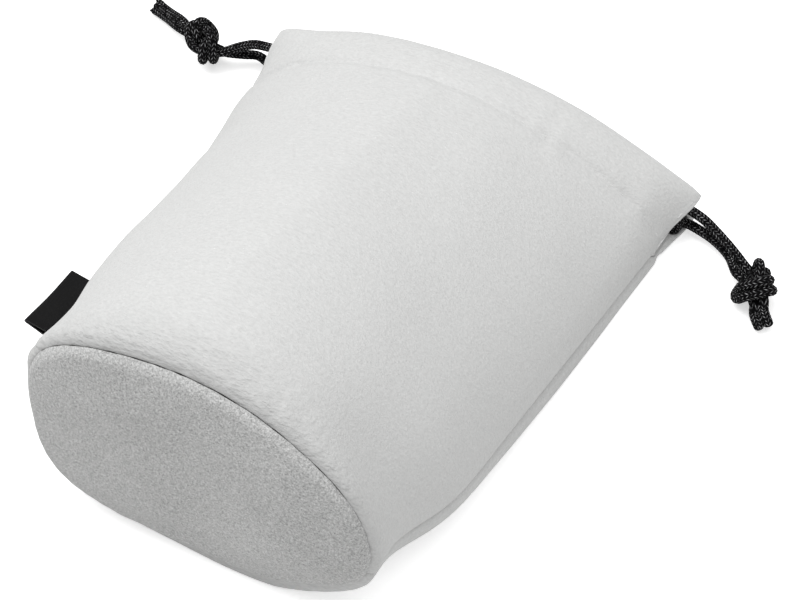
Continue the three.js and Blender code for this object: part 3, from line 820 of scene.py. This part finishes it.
def cord_finish(colour, light):
    """Black braid by the piece's UV: columns of slanting yarns, alternate ones mirrored, with painted
    highlights on their crowns.
    """
    finish = Finish("black_braid")
    along, around, _ = finish.axes(finish.node("TexCoord", "UV"))
    column = around * BRAID_COLUMNS
    across = column.fraction()
    slant = 1.0 - (column - across).modulo(2.0) * 2.0
    pick = along + slant * (across - 0.5) * BRAID_SLANT
    yarn = (pick * math.pi).cosine().size()
    edge = (across * math.pi).sine()
    # Painted highlights: pale dashes on the yarns' crowns in Base Color, their brightness scattered by a
    # noise
    highlight_scatter = finish.noise(finish.node("TexCoord", "Object"), HIGHLIGHT_SCATTER_SCALE) * HIGHLIGHT_SCATTER_SPREAD - HIGHLIGHT_SCATTER_LOSS
    return finish.close(
        Base_Color=finish.mix(yarn**HIGHLIGHT_YARN_POWER * edge**HIGHLIGHT_EDGE_POWER * highlight_scatter, colour, light),
        Roughness=0.75,
        Specular_IOR_Level=0.02,
        Normal=finish.bump(yarn * edge, WEAVE_BUMP, strength=0.5),
    )


def label_finish(colour):
    """Woven ribbon: fine ribs across it and threads along it, by the piece's UV in millimetres."""
    finish = Finish("woven_ribbon")
    along, across, _ = finish.axes(finish.node("TexCoord", "UV"))
    warp = (along * WARP).sine() * 0.5 + 0.5
    weft = (across * WEFT).sine() * 0.5 + 0.5
    weave = warp * WARP_SHARE + weft * (1 - WARP_SHARE)
    wear = finish.noise(finish.node("TexCoord", "Object"), WEAR_SCALE, detail=3.0)
    tone = weave * WEAVE_SHARE + wear * (1 - WEAVE_SHARE)
    dark, light = LABEL_TONES
    return finish.close(
        Base_Color=finish.mix(tone, scaled(colour, dark), scaled(colour, light)),
        Roughness=0.7,
        Specular_IOR_Level=0.12,
        Normal=finish.bump(weave, WEAVE_BUMP, strength=0.6),
    )


def seam_section(cloth):
    """Cloth turned in at the base seam, from the seam's bottom out to the open face: distances from the seam
    and depths of an arc of a circle, then those of its inside."""
    turn = np.linspace(SEAM_TURN, 0, ROLL_POINTS, endpoint=False)
    part = turn / SEAM_TURN
    outside = SEAM_ROLL * (1 - np.sin(turn)), SEAM_ROLL * (1 - np.cos(turn))
    inside = SEAM_ROLL * (1 - LINING_SHARE * part), cloth + SEAM_LINING * part
    return outside, inside


def wall_rows(body, hem):
    """Rows from the base to the hem's lower edge, closer together beside the base seam and the hem."""
    end = body.run - hem.height - hem.allowance
    near_base = np.linspace(SEAM_ROLL, NEAR_BASE, WALL_ROWS[0], endpoint=False)
    open_wall = np.linspace(NEAR_BASE, end - NEAR_HEM, WALL_ROWS[1], endpoint=False)
    near_hem = np.linspace(end - NEAR_HEM, end, WALL_ROWS[2])
    return np.concatenate([near_base, open_wall, near_hem])


def hem_arc(body, hem, cords, back):
    """Section of the hem from its outer lower edge, over the fold and down its inside: distance from the
    base and depth. The front hem swells outwards round its tunnel; the back one swells inwards only."""
    middle, depth, rise, half = tunnel_sizes(body, hem, cords, back)
    puff = 0 if back else hem.puff
    stitch = body.run - hem.height
    edge = stitch - hem.allowance
    inner = depth + half + body.cloth
    points = [
        (edge, 0),
        (stitch - 1.6 * MM, 0.2 * MM),
        (stitch, GROOVE),
        (stitch + 1.6 * MM, 0.05 * MM - 0.3 * puff),
        (middle - 0.6 * rise, -0.86 * puff),
        (middle, -puff),
        (middle + 0.6 * rise, -0.86 * puff),
        (body.run - 1.5 * MM, -0.38 * puff + 0.1 * MM),
        (body.run - 0.35 * MM, 0.35 * depth),
        (body.run, depth + 0.2 * MM),
        (body.run - 0.5 * MM, depth + 0.75 * half),
        (body.run - 1.8 * MM, inner - 0.5 * MM),
        (middle + 0.4 * rise, inner),
        (middle - 0.5 * rise, inner - 0.1 * MM),
        (stitch + 1.2 * MM, 2 * body.cloth + 0.6 * MM),
        (stitch, 2 * body.cloth + 0.1 * MM),
        (edge + 0.25 * MM, 2 * body.cloth),
        (edge, 2 * body.cloth - 0.3 * MM),
        (edge, body.cloth),
    ]
    return smooth_path(points, HEM_POINTS + 2)[1:-1]


def end_flat(body, hem, run, seam_distance, back):
    """How much the front hem is pressed flat towards its ends, 1 at an end and 0 on the wall below."""
    beside = smoothstep(run, body.run - 2 * hem.slit, body.run - hem.slit)
    return (0.0 if back else 1.0) * beside * hump(seam_distance, END_FLAT_RUN)


def flattened(body, depth, run, flat):
    """Depths of the hem's outside and inside, drawn to the wall's face near its ends, most at the fold."""
    inside = END_FLAT_IN + END_FLAT_FOLD * smoothstep(run, body.run - FOLD_FROM, body.run - FOLD_TO)
    return np.minimum(depth, 0) * (1 - END_FLAT_OUT * flat) + np.maximum(depth, 0) * (1 - inside * flat)


def width_shares(columns):
    """Shares of a wall's width, closer together beside both side seams."""
    even = np.linspace(0, 1, columns)
    return even - SEAM_CLUSTER * np.sin(2 * math.pi * even) / (2 * math.pi)


def wall_relief(body, hem, points, run, seam_distance, back):
    """How far the cloth is pushed in: dipped beside its seams, puckered by the sewing, and softly uneven."""
    x = points[..., 0]
    sway = ripple(points, SWAY_WAVE, 5)
    stitch = body.run - hem.height
    from_stitch = np.abs(run - stitch)
    below = np.where(run < body.run - hem.slit, 1.0, SLIT_DIP)
    dip = SEAM_DIP * fade(seam_distance, SEAM_DIP_RUN) * below
    round_body = (x + points[..., 2] * PUCKER_RISE) / PUCKER_WAVE
    pucker = np.sin(round_body + PUCKER_SWAY * sway + PUCKER_SLANT * run)
    pucker = pucker * fade(run, PUCKER_RUN) * BASE_PUCKER
    wave = np.sin(x / HEM_WAVELENGTH + HEM_SWAY * sway) * fade(from_stitch, HEM_WAVE_RUN) * HEM_WAVE
    dimple = (0.5 + 0.5 * np.cos(2 * math.pi * x / hem.stitch)) * hump(from_stitch, DIMPLE_RUN) * DIMPLE
    uneven = ripple(points, BROAD_WAVE, 11) * BROAD_UNEVEN + ripple(points, FINE_WAVE, 23) * FINE_UNEVEN
    calm = smoothstep(seam_distance, 0, SEAM_CALM) * smoothstep(run, 0, BASE_CALM)
    at_hem = smoothstep(run, stitch - END_PINCH_RISE, stitch)
    pinch = END_PINCH * hump(seam_distance, END_PINCH_RUN) * at_hem
    sewing = pucker * (BACK_PUCKER if back else 1.0) + wave * (BACK_HEM_WAVE if back else 1.0)
    return dip + sewing + dimple + uneven * calm + pinch


def panel_grids(body, hem, cords, back):
    """A wall as one closed shell: a section of wall, hem and lining carried round the body, with the tunnel's
    inside and the rounded rims of its two open ends."""
    rows = wall_rows(body, hem)
    arc = hem_arc(body, hem, cords, back)
    (roll_run, roll_depth), (lining_run, lining_depth) = seam_section(body.cloth)
    lining = np.concatenate([lining_run, rows]), np.concatenate([lining_depth, 0 * rows + body.cloth])
    run = np.concatenate([roll_run, rows, arc[:, 0], lining[0][::-1]])[:, None]
    depth = np.concatenate([roll_depth, 0 * rows, arc[:, 1], lining[1][::-1]])[:, None]
    shares = width_shares(PANEL_COLUMNS)[None, :]
    angle = wall_angle(body, hem, shares, run, back)
    plain = wall_point(body, angle, run + 0 * angle)
    steps = np.linalg.norm(np.diff(plain, axis=1), axis=2)
    from_start = np.concatenate([np.zeros((len(run), 1)), np.cumsum(steps, axis=1)], axis=1)
    seam_distance = np.minimum(from_start, from_start[:, -1:] - from_start)
    relief = wall_relief(body, hem, plain, run, seam_distance, back)
    flat = end_flat(body, hem, run, seam_distance, back)
    shell = cloth_point(body, angle, run + 0 * angle, flattened(body, depth, run, flat) + relief)
    shell[..., 2] = np.maximum(shell[..., 2], 0.0)
    count = ROLL_POINTS + len(rows)
    contour = np.arange(count - 1, count + len(arc) + 1)
    middle, centre, rise, half = tunnel_sizes(body, hem, cords, back)
    turn = np.arctan2((depth[contour] - centre) / half, (run[contour] - middle) / rise)
    tunnel_run = middle + rise * np.cos(turn)
    tunnel_angle = wall_angle(body, hem, shares, tunnel_run, back)
    tunnel_depth = flattened(body, centre + half * np.sin(turn), tunnel_run, flat[contour])
    tunnel = cloth_point(body, tunnel_angle, tunnel_run + 0 * tunnel_angle, tunnel_depth)
    grids = [(shell, True, False), (tunnel, True, False)]
    part = np.linspace(0, 1, END_LOOPS)[:, None, None]
    for end, inner in ((0, 1), (-1, -2)):
        strip = np.stack([shell[:count, end], shell[::-1][:count, end]], axis=1)
        bulge = unit(shell[contour, end] - shell[contour, inner]) * END_BULGE * np.sin(math.pi * part)
        rim = shell[contour, end] * (1 - part) + tunnel[:, end] * part + bulge
        grids += [(strip, False, False), (rim, False, True)]
    return grids


def base_grids(body):
    """The oval base: flat in its middle, domed towards its seam and turned in at its rim, with its inside.
    Rings near the rim lie at even distances from it; those of the middle are scaled copies."""
    angle = np.linspace(0, 2 * math.pi, BASE_COLUMNS, endpoint=False)[None, :]
    across, up = base_oval(body, angle, body.base_square)
    outward = np.array([0, -math.cos(body.base_lean), math.sin(body.base_lean)])
    half = body.base_width / 2
    rim = SEAM_REACH - SEAM_OVERLAP
    middle = (1 - (1 - np.linspace(0, 1, BASE_RINGS, endpoint=False)) ** RING_POWER)[:, None]
    near_rim = np.linspace(RIM_REACH, SEAM_ROLL, RIM_RINGS, endpoint=False)

    def face(roll_inset, roll_drop, drop):
        inset = np.concatenate([near_rim, roll_inset[::-1]])[:, None]
        from_rim = np.concatenate([half - middle * (half - RIM_REACH), inset])
        ring_across = across - (rim + inset) * np.cos(angle)
        ring_up = up - (rim + inset) * np.sin(angle)
        ring_across = np.vstack([middle * ring_across[:1], ring_across])
        ring_up = np.vstack([middle * ring_up[:1], ring_up])
        plain = base_plane(body, ring_across, ring_up)
        dome = body.base_dome * (1 - smoothstep(1 - from_rim / half, body.base_flat, 1.0))
        fall = SEAM_FALL * (1 - hump(from_rim, FALL_RUN))
        sway = RIM_SWAY * ripple(plain, SWAY_WAVE, 31)
        pucker = np.sin(angle * RIM_PUCKERS + sway) * fade(from_rim, PUCKER_RUN) * RIM_PUCKER
        uneven = ripple(plain, BASE_WAVE, 37) * BASE_UNEVEN * smoothstep(from_rim, 0, BASE_CALM)
        drops = np.concatenate([np.full(BASE_RINGS + RIM_RINGS, drop), roll_drop[::-1]])[:, None]
        offset = SEAM_REACH + dome + fall + pucker + uneven - drops
        return plain + offset[..., None] * outward

    (roll_inset, roll_drop), (lining_inset, lining_drop) = seam_section(body.cloth)
    outer = face(roll_inset, roll_drop, 0.0)
    inner = face(lining_inset, lining_drop, body.cloth)
    outer[..., 2] = np.maximum(outer[..., 2], 0.0)
    edge = np.stack([outer[-1], inner[-1]], axis=0)
    return [(outer, False, True), (inner, False, True), (edge, False, True)]


def stitch_piece(name, row, surface_out, hem, material):
    """A row of short stitches: each thread dips into the cloth at both ends, where it tapers to a point,
    and bows over it between."""
    step = np.linspace(0, 1, STITCH_RINGS)
    taper = np.sqrt(np.clip(1 - np.linspace(-1, 1, STITCH_RINGS) ** 4, 0, 1))
    along = (STITCH_GAP + step * (1 - 2 * STITCH_GAP))[:, None]
    bow = (np.sin(math.pi * step) * STITCH_BOW - STITCH_SINK) * hem.thread
    paths = row[:-1, None] * (1 - along) + row[1:, None] * along
    paths = paths + bow[None, :, None] * surface_out[:-1, None, :]
    tangent = unit(np.gradient(paths, axis=1))
    first = unit(np.cross(tangent, THREAD_ASIDE))
    second = np.cross(tangent, first)
    turn = np.linspace(0, 2 * math.pi, THREAD_SIDES, endpoint=False)[:, None]
    ring = np.cos(turn) * first[..., None, :] + np.sin(turn) * second[..., None, :]
    tubes = paths[..., None, :] + hem.thread / 2 * taper[:, None, None] * ring

    def uv(loops):
        station = (loops // THREAD_SIDES) % STITCH_RINGS
        return np.stack([station / STITCH_RINGS, (loops % THREAD_SIDES) / THREAD_SIDES], axis=1)

    return mesh_piece(name, [(tube, False, True) for tube in tubes], material, uv)


def braid_height(along, around, cords):
    """Height of the braid, from 0 in a groove to 1 on a yarn: slanting columns, alternate ones mirrored."""
    column = around * BRAID_COLUMNS
    across = column - np.floor(column)
    slant = np.where(np.floor(column) % 2 == 0, 1.0, -1.0)
    pick = along / cords.pick + slant * (across - 0.5) * BRAID_SLANT
    yarn = np.abs(np.cos(math.pi * pick)) ** YARN_ROUND
    return yarn * np.sin(math.pi * across) ** COLUMN_ROUND


def cord_piece(name, path, cords, material, round_ends=CUT_ENDS, fray=0.0):
    """A braided cord along a path: a tube whose radius follows the braid, with its ends rounded over. A
    frayed far end spreads, and its yarns end unevenly."""
    count = max(CORD_LEAST, int(path_length(path) / CORD_STEP))
    path = resample(path, count)
    tangent, normal, side = tube_frames(path)
    around = np.arange(CORD_AROUND) / CORD_AROUND
    along = np.linspace(0, path_length(path), count)
    left = along[-1] - along
    radius = cords.thickness / 2 - cords.relief * (1 - braid_height(along[:, None], around[None, :], cords))
    for reach, end_round in zip((along, left), round_ends):
        ease = np.clip(reach / (CAP * cords.thickness * end_round), 0, 1)
        radius = radius * np.sqrt(1 - (1 - ease) ** 2)[:, None]
    turn = 2 * math.pi * around
    loose = fray * fade(left, FRAY_RUN * cords.thickness)[:, None]
    radius = radius * (1 + FRAY_SPREAD * loose)
    ring = np.cos(turn)[None, :, None] * normal[:, None] + np.sin(turn)[None, :, None] * side[:, None]
    uneven = sum(np.sin(waves * turn + phase) * size for waves, phase, size in FRAY_WAVES)
    tufts = FRAY_TUFT * cords.thickness * loose * uneven[None, :]
    tube = path[:, None] + radius[..., None] * ring + tufts[..., None] * tangent[:, None]

    def uv(loops):
        station, place = loops // CORD_AROUND, loops % CORD_AROUND
        return np.stack([along[station] / cords.pick, place / CORD_AROUND], axis=1)

    return mesh_piece(name, [(tube, False, True)], material, uv)


def view_from():
    """Direction from the pouch to the camera."""
    level = math.cos(VIEW_ELEVATION)
    return level * math.sin(VIEW_AZIMUTH), -level * math.cos(VIEW_AZIMUTH), math.sin(VIEW_ELEVATION)


def placed(points):
    """Route points in millimetres from the base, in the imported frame."""
    return np.asarray(points, float) * MM + np.array([0, shift(), 0])


def tunnel_line(body, hem, cords, back, shares, lane):
    """Middle line of a cord inside a tunnel, at shares of the wall's width. Lane 1 is the upper cord, -1 the
    lower one."""
    middle, depth, _, _ = tunnel_sizes(body, hem, cords, back)
    run = middle + np.asarray(lane) * (cords.diameter + cords.gap) / 2
    angle = wall_angle(body, hem, np.asarray(shares), run, back)
    return cloth_point(body, angle, run + 0 * angle, depth + 0 * angle)


def knot_strands(cords, side):
    """A knot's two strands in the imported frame, the upper one first: the table turned about its axis, laid
    along its heading with one face to the camera, and set down on the floor."""
    place = KNOTS[side]
    ahead = np.array([math.cos(place["heading"]), math.sin(place["heading"]), 0])
    facing = np.array(view_from())
    facing = unit(facing - ahead * (facing @ ahead))
    beside = np.cross(facing, ahead)
    local = (np.array(KNOT_STRANDS) - KNOT_MIDDLE) * cords.thickness
    c, s = math.cos(place["turn"]), math.sin(place["turn"])
    across = local[..., 1] * c - local[..., 2] * s
    above = local[..., 1] * s + local[..., 2] * c
    points = local[..., :1] * ahead + across[..., None] * beside + above[..., None] * facing
    points = points + placed([(*place["middle"], 0)])[0]
    points[..., 2] += cords.thickness / 2 + FLOOR_CLEARANCE - points[..., 2].min()
    return points if points[0, 0, 2] > points[1, 0, 2] else points[::-1]


def blend_mouth(piece):
    """Bakes the piece's placement into its mesh."""
    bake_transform(piece)


def settle(piece, node, lifts=False):
    """Puts a piece on the bag, or only bakes its placement, and hides the part it replaces."""
    if lifts:
        blend_mouth(piece)
    else:
        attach(piece, "bag")
    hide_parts(node)


class POUCH_OT_stage(bpy.types.Operator):
    """Makes the floor, the soft lights, the world and the camera"""

    bl_idname = "pouch.stage"
    bl_label = "Stage"

    def execute(self, context):
        scene = context.scene
        scene.view_settings.view_transform = "Standard"
        self.make_camera(scene)
        self.make_floor(scene.pouch_finish)
        self.make_lights(scene)
        return {"FINISHED"}

    def make_camera(self, scene):
        """A long lens at the fitted azimuth, elevation, distance and roll."""
        x, y, z = VIEW_TARGET
        target = Vector((x, y + shift(), z))
        back = Vector(view_from())
        right = Vector((math.cos(VIEW_AZIMUTH), math.sin(VIEW_AZIMUTH), 0))
        up = back.cross(right)
        tilted_right = right * math.cos(VIEW_ROLL) + up * math.sin(VIEW_ROLL)
        tilted_up = up * math.cos(VIEW_ROLL) - right * math.sin(VIEW_ROLL)
        data = bpy.data.cameras.new("photo_camera")
        data.sensor_fit = "HORIZONTAL"
        data.sensor_width = SENSOR_MM
        data.lens = SENSOR_MM / 2 / math.tan(HALF_VIEW)
        data.clip_start, data.clip_end = CLIP
        camera = bpy.data.objects.new("photo_camera", data)
        scene.collection.objects.link(camera)
        turn = Matrix((tilted_right, tilted_up, back)).transposed()
        camera.matrix_world = Matrix.Translation(target + back * VIEW_DISTANCE) @ turn.to_4x4()
        scene.camera = camera

    def make_floor(self, colours):
        """A plain floor that shows white to the camera and keeps the shadow."""
        finish = Finish("studio_floor")
        camera_ray = finish.node("LightPath", "Is Camera Ray")
        glossy_ray = finish.node("LightPath", "Is Glossy Ray")
        clear_ray = finish.node("LightPath", "Is Transmission Ray")
        lit = finish.node("BsdfDiffuse", "BSDF", Color=(*colours.floor, 1.0))
        glow = finish.node("Emission", "Emission", Color=(1.0, 1.0, 1.0, 1.0), Strength=FLOOR_GLOW)
        dark = finish.node("Emission", "Emission", Color=(0.0, 0.0, 0.0, 1.0), Strength=0.0)
        extra = finish.node("MixShader", 0, camera_ray + glossy_ray + clear_ray, dark, glow)
        material = finish.end(finish.node("AddShader", 0, lit, extra))
        even = np.linspace(-FLOOR_REACH, FLOOR_REACH, FLOOR_POINTS)
        x, y = np.meshgrid(even, even, indexing="ij")
        grid = np.stack([x, y, 0 * x - FLOOR_DROP], axis=-1)
        floor = mesh_piece("floor", [(grid, False, False)], material)
        if floor.data.polygons[0].normal.z < 0:
            floor.data.flip_normals()

    def make_lights(self, scene):
        """A broad lamp from the upper left, a weaker one from the upper right, and an even white surround."""
        world = bpy.data.worlds.new("studio")
        scene.world = world
        world.use_nodes = True
        surround = world.node_tree.nodes["Background"]
        surround.inputs["Color"].default_value = (1.0, 1.0, 1.0, 1.0)
        surround.inputs["Strength"].default_value = SURROUND
        for name, place, size, power in LAMPS:
            data = bpy.data.lights.new(name, "AREA")
            data.shape = "DISK"
            data.size = size
            data.energy = power
            lamp = bpy.data.objects.new(name, data)
            scene.collection.objects.link(lamp)
            lamp.location = place
            lamp.rotation_mode = "QUATERNION"
            lamp.rotation_quaternion = (-Vector(place)).to_track_quat("-Z", "Y")


class POUCH_OT_cords(bpy.types.Operator):
    """Makes the drawcords: their free strands with the knots and tails, and the runs inside the hem"""

    bl_idname = "pouch.cords"
    bl_label = "Drawcords"

    def execute(self, context):
        scene = context.scene
        material = cord_finish(scene.pouch_finish.cord, scene.pouch_finish.cord_highlight)
        for side in SIDES:
            for face in FACES:
                self.make_strand(scene, side, face, material)
            self.make_hidden_runs(scene, side, material)
        return {"FINISHED"}

    def make_strand(self, scene, side, face, material):
        """One end of a drawcord, from inside its tunnel through the knot to its tail."""
        body, hem, cords = scene.pouch_body, scene.pouch_hem, scene.pouch_cords
        back = face == "back"
        own_lane = OWN_LANES[side]
        leaving = smoothstep(EXIT_SHARES, EXIT_SHARES[0], 0.0)
        lane = own_lane + (EXIT_LANES[side, face] - own_lane) * leaving
        shares = EXIT_SHARES if (side == "right") != back else 1 - EXIT_SHARES
        inside = tunnel_line(body, hem, cords, back, shares, lane)
        leave = inside[-1] + unit(inside[-1] - inside[-2]) * cords.diameter / 2
        knot = knot_strands(cords, side)[1 if back else 0]
        points = np.vstack([inside, [leave], placed(STRANDS[side, face]), knot, placed(TAILS[side, face])])
        path = smooth_path(points, STRAND_POINTS)
        ends, fray = (MELTED_ENDS, 0.0) if side == "right" else (FRAYED_ENDS, 1.0)
        piece = cord_piece(f"{side}_drawcord_{face}", path, cords, material, ends, fray)
        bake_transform(piece)
        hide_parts(f"{side}_cord_{face}_strand", f"{side}_cord_{face}_tail", f"{side}_knot")

    def make_hidden_runs(self, scene, side, material):
        """The rest of a drawcord: through the front hem, round at the far end and back through the other hem.
        At the far end both runs lie in the lower lane, clear of the other cord's strands."""
        body, hem, cords = scene.pouch_body, scene.pouch_hem, scene.pouch_cords
        shares = np.linspace(0.0, 1.0, RUN_POINTS)
        own_lane = OWN_LANES[side]
        lane = own_lane + (FAR_LANE - own_lane) * smoothstep(shares, *FAR_LANE_SHARES)
        toward_far = shares if side == "right" else shares[::-1]
        front = tunnel_line(body, hem, cords, False, toward_far, lane)[RUN_TRIM:]
        rear = tunnel_line(body, hem, cords, True, toward_far, lane[::-1])[:-RUN_TRIM]
        turn = (front[-1] + rear[0]) / 2
        turn[0] = (-1 if side == "right" else 1) * (max(abs(front[-1, 0]), abs(rear[0, 0])) + cords.loop)
        bend = np.vstack([front[-BEND_OVERLAP:], [turn], rear[:BEND_OVERLAP]])
        for name, node, path, lifts in (
            ("bend", "crossing", smooth_path(bend, BEND_POINTS), False),
            ("front_run", "front_run", front[:-BEND_OVERLAP], True),
            ("back_run", "back_run", rear[BEND_OVERLAP:], False),
        ):
            piece = cord_piece(f"{side}_drawcord_{name}", path, cords, material)
            settle(piece, f"{side}_cord_{node}", lifts)


class POUCH_OT_walls(bpy.types.Operator):
    """Makes the front wall, the back wall and the oval base"""

    bl_idname = "pouch.walls"
    bl_label = "Walls and base"

    def execute(self, context):
        scene = context.scene
        body, hem, cords, colours = scene.pouch_body, scene.pouch_hem, scene.pouch_cords, scene.pouch_finish
        seam = body.base_lean, body.base_set_in + shift() - body.seam_height * math.tan(body.base_lean)
        suede = suede_finish(
            "pale_suede", colours.suede, nap=1500.0, span=0.075, depth=0.0004, stretch=0.4, seam=seam
        )
        # The base is a darker copy of the wall suede, which is painted shade; its coarser, stronger grain is
        # its own
        base_suede = suede_finish(
            "base_suede", colours.base_suede, nap=1900.0, span=0.44, depth=0.0005, stretch=1.0
        )
        front = mesh_piece("front_wall_suede", panel_grids(body, hem, cords, False), suede)
        settle(front, "front_panel", lifts=True)
        rear = mesh_piece("back_wall_suede", panel_grids(body, hem, cords, True), suede)
        settle(rear, "back_panel")
        base = mesh_piece("base_suede_oval", base_grids(body), base_suede)
        settle(base, "base_panel")
        return {"FINISHED"}


class POUCH_OT_stitching(bpy.types.Operator):
    """Makes the rows of stitches along the hems, beside their ends and inside the seams"""

    bl_idname = "pouch.stitching"
    bl_label = "Stitching"

    def execute(self, context):
        scene = context.scene
        material = thread_finish(scene.pouch_finish.thread)
        for back in (False, True):
            self.make_hem_row(scene, back, material)
            for at_right in (False, True):
                self.make_end_row(scene, back, at_right, material)
        self.make_seam_rows(scene, material)
        return {"FINISHED"}

    def make_row(self, hem, name, node, line, material, lifts=False, out=None):
        """Stitches along a line, bowed off the cloth: up and square to the line, unless a way is given."""
        row = resample(line, int(path_length(line) / hem.stitch) + 1)
        tangent = unit(np.gradient(row, axis=0))
        up = unit(np.array([0, 0, 1.0]) - tangent * tangent[:, 2:3])
        surface_out = up if out is None else np.tile(out, (len(row), 1))
        settle(stitch_piece(name, row, surface_out, hem, material), node, lifts)

    def on_cloth(self, body, hem, width_share, run, depth, back):
        """A line on the cloth's finished face, at shares of the width and distances from the base."""
        shares = np.broadcast_to(width_share, run.shape)
        angle = wall_angle(body, hem, shares, run, back)
        plain = wall_point(body, angle, run)
        seam_distance = np.minimum(shares, 1 - shares) * body.mouth_width
        relief = wall_relief(body, hem, plain, run, seam_distance, back)
        flat = end_flat(body, hem, run, seam_distance, back)
        return cloth_point(body, angle, run, flattened(body, depth, run, flat) + relief)

    def make_hem_row(self, scene, back, material):
        """Stitches in the groove below the tunnel, seen outside on the front and inside on the back."""
        body, hem = scene.pouch_body, scene.pouch_hem
        run = np.full(HEM_ROW_POINTS, body.run - hem.height)
        depth = 2 * body.cloth + BACK_STITCH_RAISE if back else GROOVE
        line = self.on_cloth(body, hem, np.linspace(*HEM_ROW_ENDS, HEM_ROW_POINTS), run, depth, back)
        face = FACES[back]
        self.make_row(hem, f"{face}_hem_stitches", f"{face}_hem_stitch", line, material, not back)

    def make_end_row(self, scene, back, at_right, material):
        """A short row beside the open end of a tunnel."""
        body, hem, cords = scene.pouch_body, scene.pouch_hem, scene.pouch_cords
        middle, _, rise, _ = tunnel_sizes(body, hem, cords, back)
        arc = hem_arc(body, hem, cords, back)
        shown = arc[HEM_POINTS // 2 :][::-1] if back else arc[: HEM_POINTS // 2]
        run = np.linspace(middle - rise, middle + rise, END_ROW_POINTS)
        depths = np.interp(run, shown[:, 0], shown[:, 1])
        inset = END_ROW_INSET / body.mouth_width
        line = self.on_cloth(body, hem, 1 - inset if at_right == back else inset, run, depths, back)
        name = f"{FACES[back]}_{SIDES[at_right]}_end_stitch"
        self.make_row(hem, f"{name}es", name, line, material, not back)

    def make_seam_rows(self, scene, material):
        """Stitches inside the side seams and the base seam."""
        body, hem = scene.pouch_body, scene.pouch_hem
        run = np.linspace(SEAM_ROW_START, body.run - hem.slit - SEAM_ROW_STOP, SEAM_ROW_POINTS)
        for side, angle in (("left", math.pi + 0 * run), ("right", -seam_drop(body, run))):
            line = cloth_point(body, angle, run, SEAM_ROW_DEPTH + 0 * run)
            self.make_row(hem, f"{side}_seam_stitches", f"{side}_side_seam_thread", line, material)
        angle = np.linspace(BASE_ROW_GAP, 2 * math.pi - BASE_ROW_GAP, BASE_ROW_POINTS) + math.pi
        line = cloth_point(body, angle, BASE_ROW_RUN + 0 * angle, SEAM_ROW_DEPTH + 0 * angle)
        self.make_row(hem, "base_seam_stitches", "base_seam_thread", line, material, out=(0, 1.0, 0))


class POUCH_OT_label(bpy.types.Operator):
    """Makes the folded ribbon in the left side seam"""

    bl_idname = "pouch.label"
    bl_label = "Label"

    def execute(self, context):
        scene = context.scene
        body, label = scene.pouch_body, scene.pouch_label
        outer = label.fold_gap / 2 + label.cloth
        inner = label.fold_gap / 2
        bend = np.linspace(-math.pi / 2, math.pi / 2, LABEL_BEND)
        straight = np.linspace(0, 1, LABEL_STRAIGHT, endpoint=False) * (label.reach - outer)

        def layer(radius):
            puffed = radius + LABEL_SWELL * np.sin(math.pi * straight / label.reach) ** 2
            below = np.stack([straight, -puffed], axis=1)
            fold = np.stack([label.reach - outer + radius * np.cos(bend), radius * np.sin(bend)], axis=1)
            above = np.stack([straight, puffed], axis=1)
            return np.concatenate([below, fold, above[::-1]])

        outside, inside = layer(outer), layer(inner)
        section = np.vstack([outside, inside[::-1]])
        along = np.linspace(0, 1, LABEL_ALONG)
        run = label.start + along * label.run
        seam = wall_point(body, math.pi + 0 * along, run)
        seam[:, 0] -= wall_tuck(body, np.cos(math.pi), run)
        out = np.array([-math.cos(label.tilt), 0, math.sin(label.tilt)])
        up = np.array([math.sin(label.tilt), 0, math.cos(label.tilt)])
        curl = LABEL_CURL * np.cos(2 * math.pi * along)
        reach = section[None, :, 0] + label.seat
        lift = section[None, :, 1] + curl[:, None] * (section[None, :, 0] / label.reach) ** 2
        grid = seam[:, None] + reach[..., None] * out + lift[..., None] * up
        half = len(outside)
        ends = [np.stack([grid[end, :half], grid[end, half:][::-1]], axis=1) for end in (0, -1)]
        grids = [(grid, False, True), (ends[0], False, False), (ends[1], False, False)]
        width = len(section)

        def uv(loops):
            station, place = np.minimum(loops // width, len(along) - 1), loops % width
            return np.stack([along[station] * label.run / MM, section[place, 0] / MM], axis=1)

        piece = mesh_piece("folded_side_label", grids, label_finish(scene.pouch_finish.label), uv)
        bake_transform(piece)
        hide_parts("label_tab")
        return {"FINISHED"}


class POUCH_PT_panel(bpy.types.Panel):
    """Lists the pouch's pieces in the sidebar"""

    bl_label = "Pouch"
    bl_idname = "POUCH_PT_panel"
    bl_space_type = "VIEW_3D"
    bl_region_type = "UI"
    bl_category = "Pouch"

    def draw(self, context):
        for operator in OPERATORS:
            self.layout.operator(operator.bl_idname)


GROUPS = {
    "pouch_body": PouchBody,
    "pouch_hem": PouchHem,
    "pouch_cords": PouchCords,
    "pouch_label": PouchLabel,
    "pouch_finish": PouchFinish,
}
OPERATORS = (POUCH_OT_stage, POUCH_OT_cords, POUCH_OT_walls, POUCH_OT_stitching, POUCH_OT_label)
CLASSES = (*GROUPS.values(), *OPERATORS, POUCH_PT_panel)


def register():
    for item in CLASSES:
        bpy.utils.register_class(item)
    for name, group in GROUPS.items():
        setattr(bpy.types.Scene, name, PointerProperty(type=group))


def unregister():
    for name in GROUPS:
        delattr(bpy.types.Scene, name)
    for item in reversed(CLASSES):
        bpy.utils.unregister_class(item)


def main():
    register()
    bpy.ops.pouch.stage()
    bpy.ops.pouch.cords()
    bpy.ops.pouch.walls()
    bpy.ops.pouch.stitching()
    bpy.ops.pouch.label()


if __name__ == "__main__":
    main()
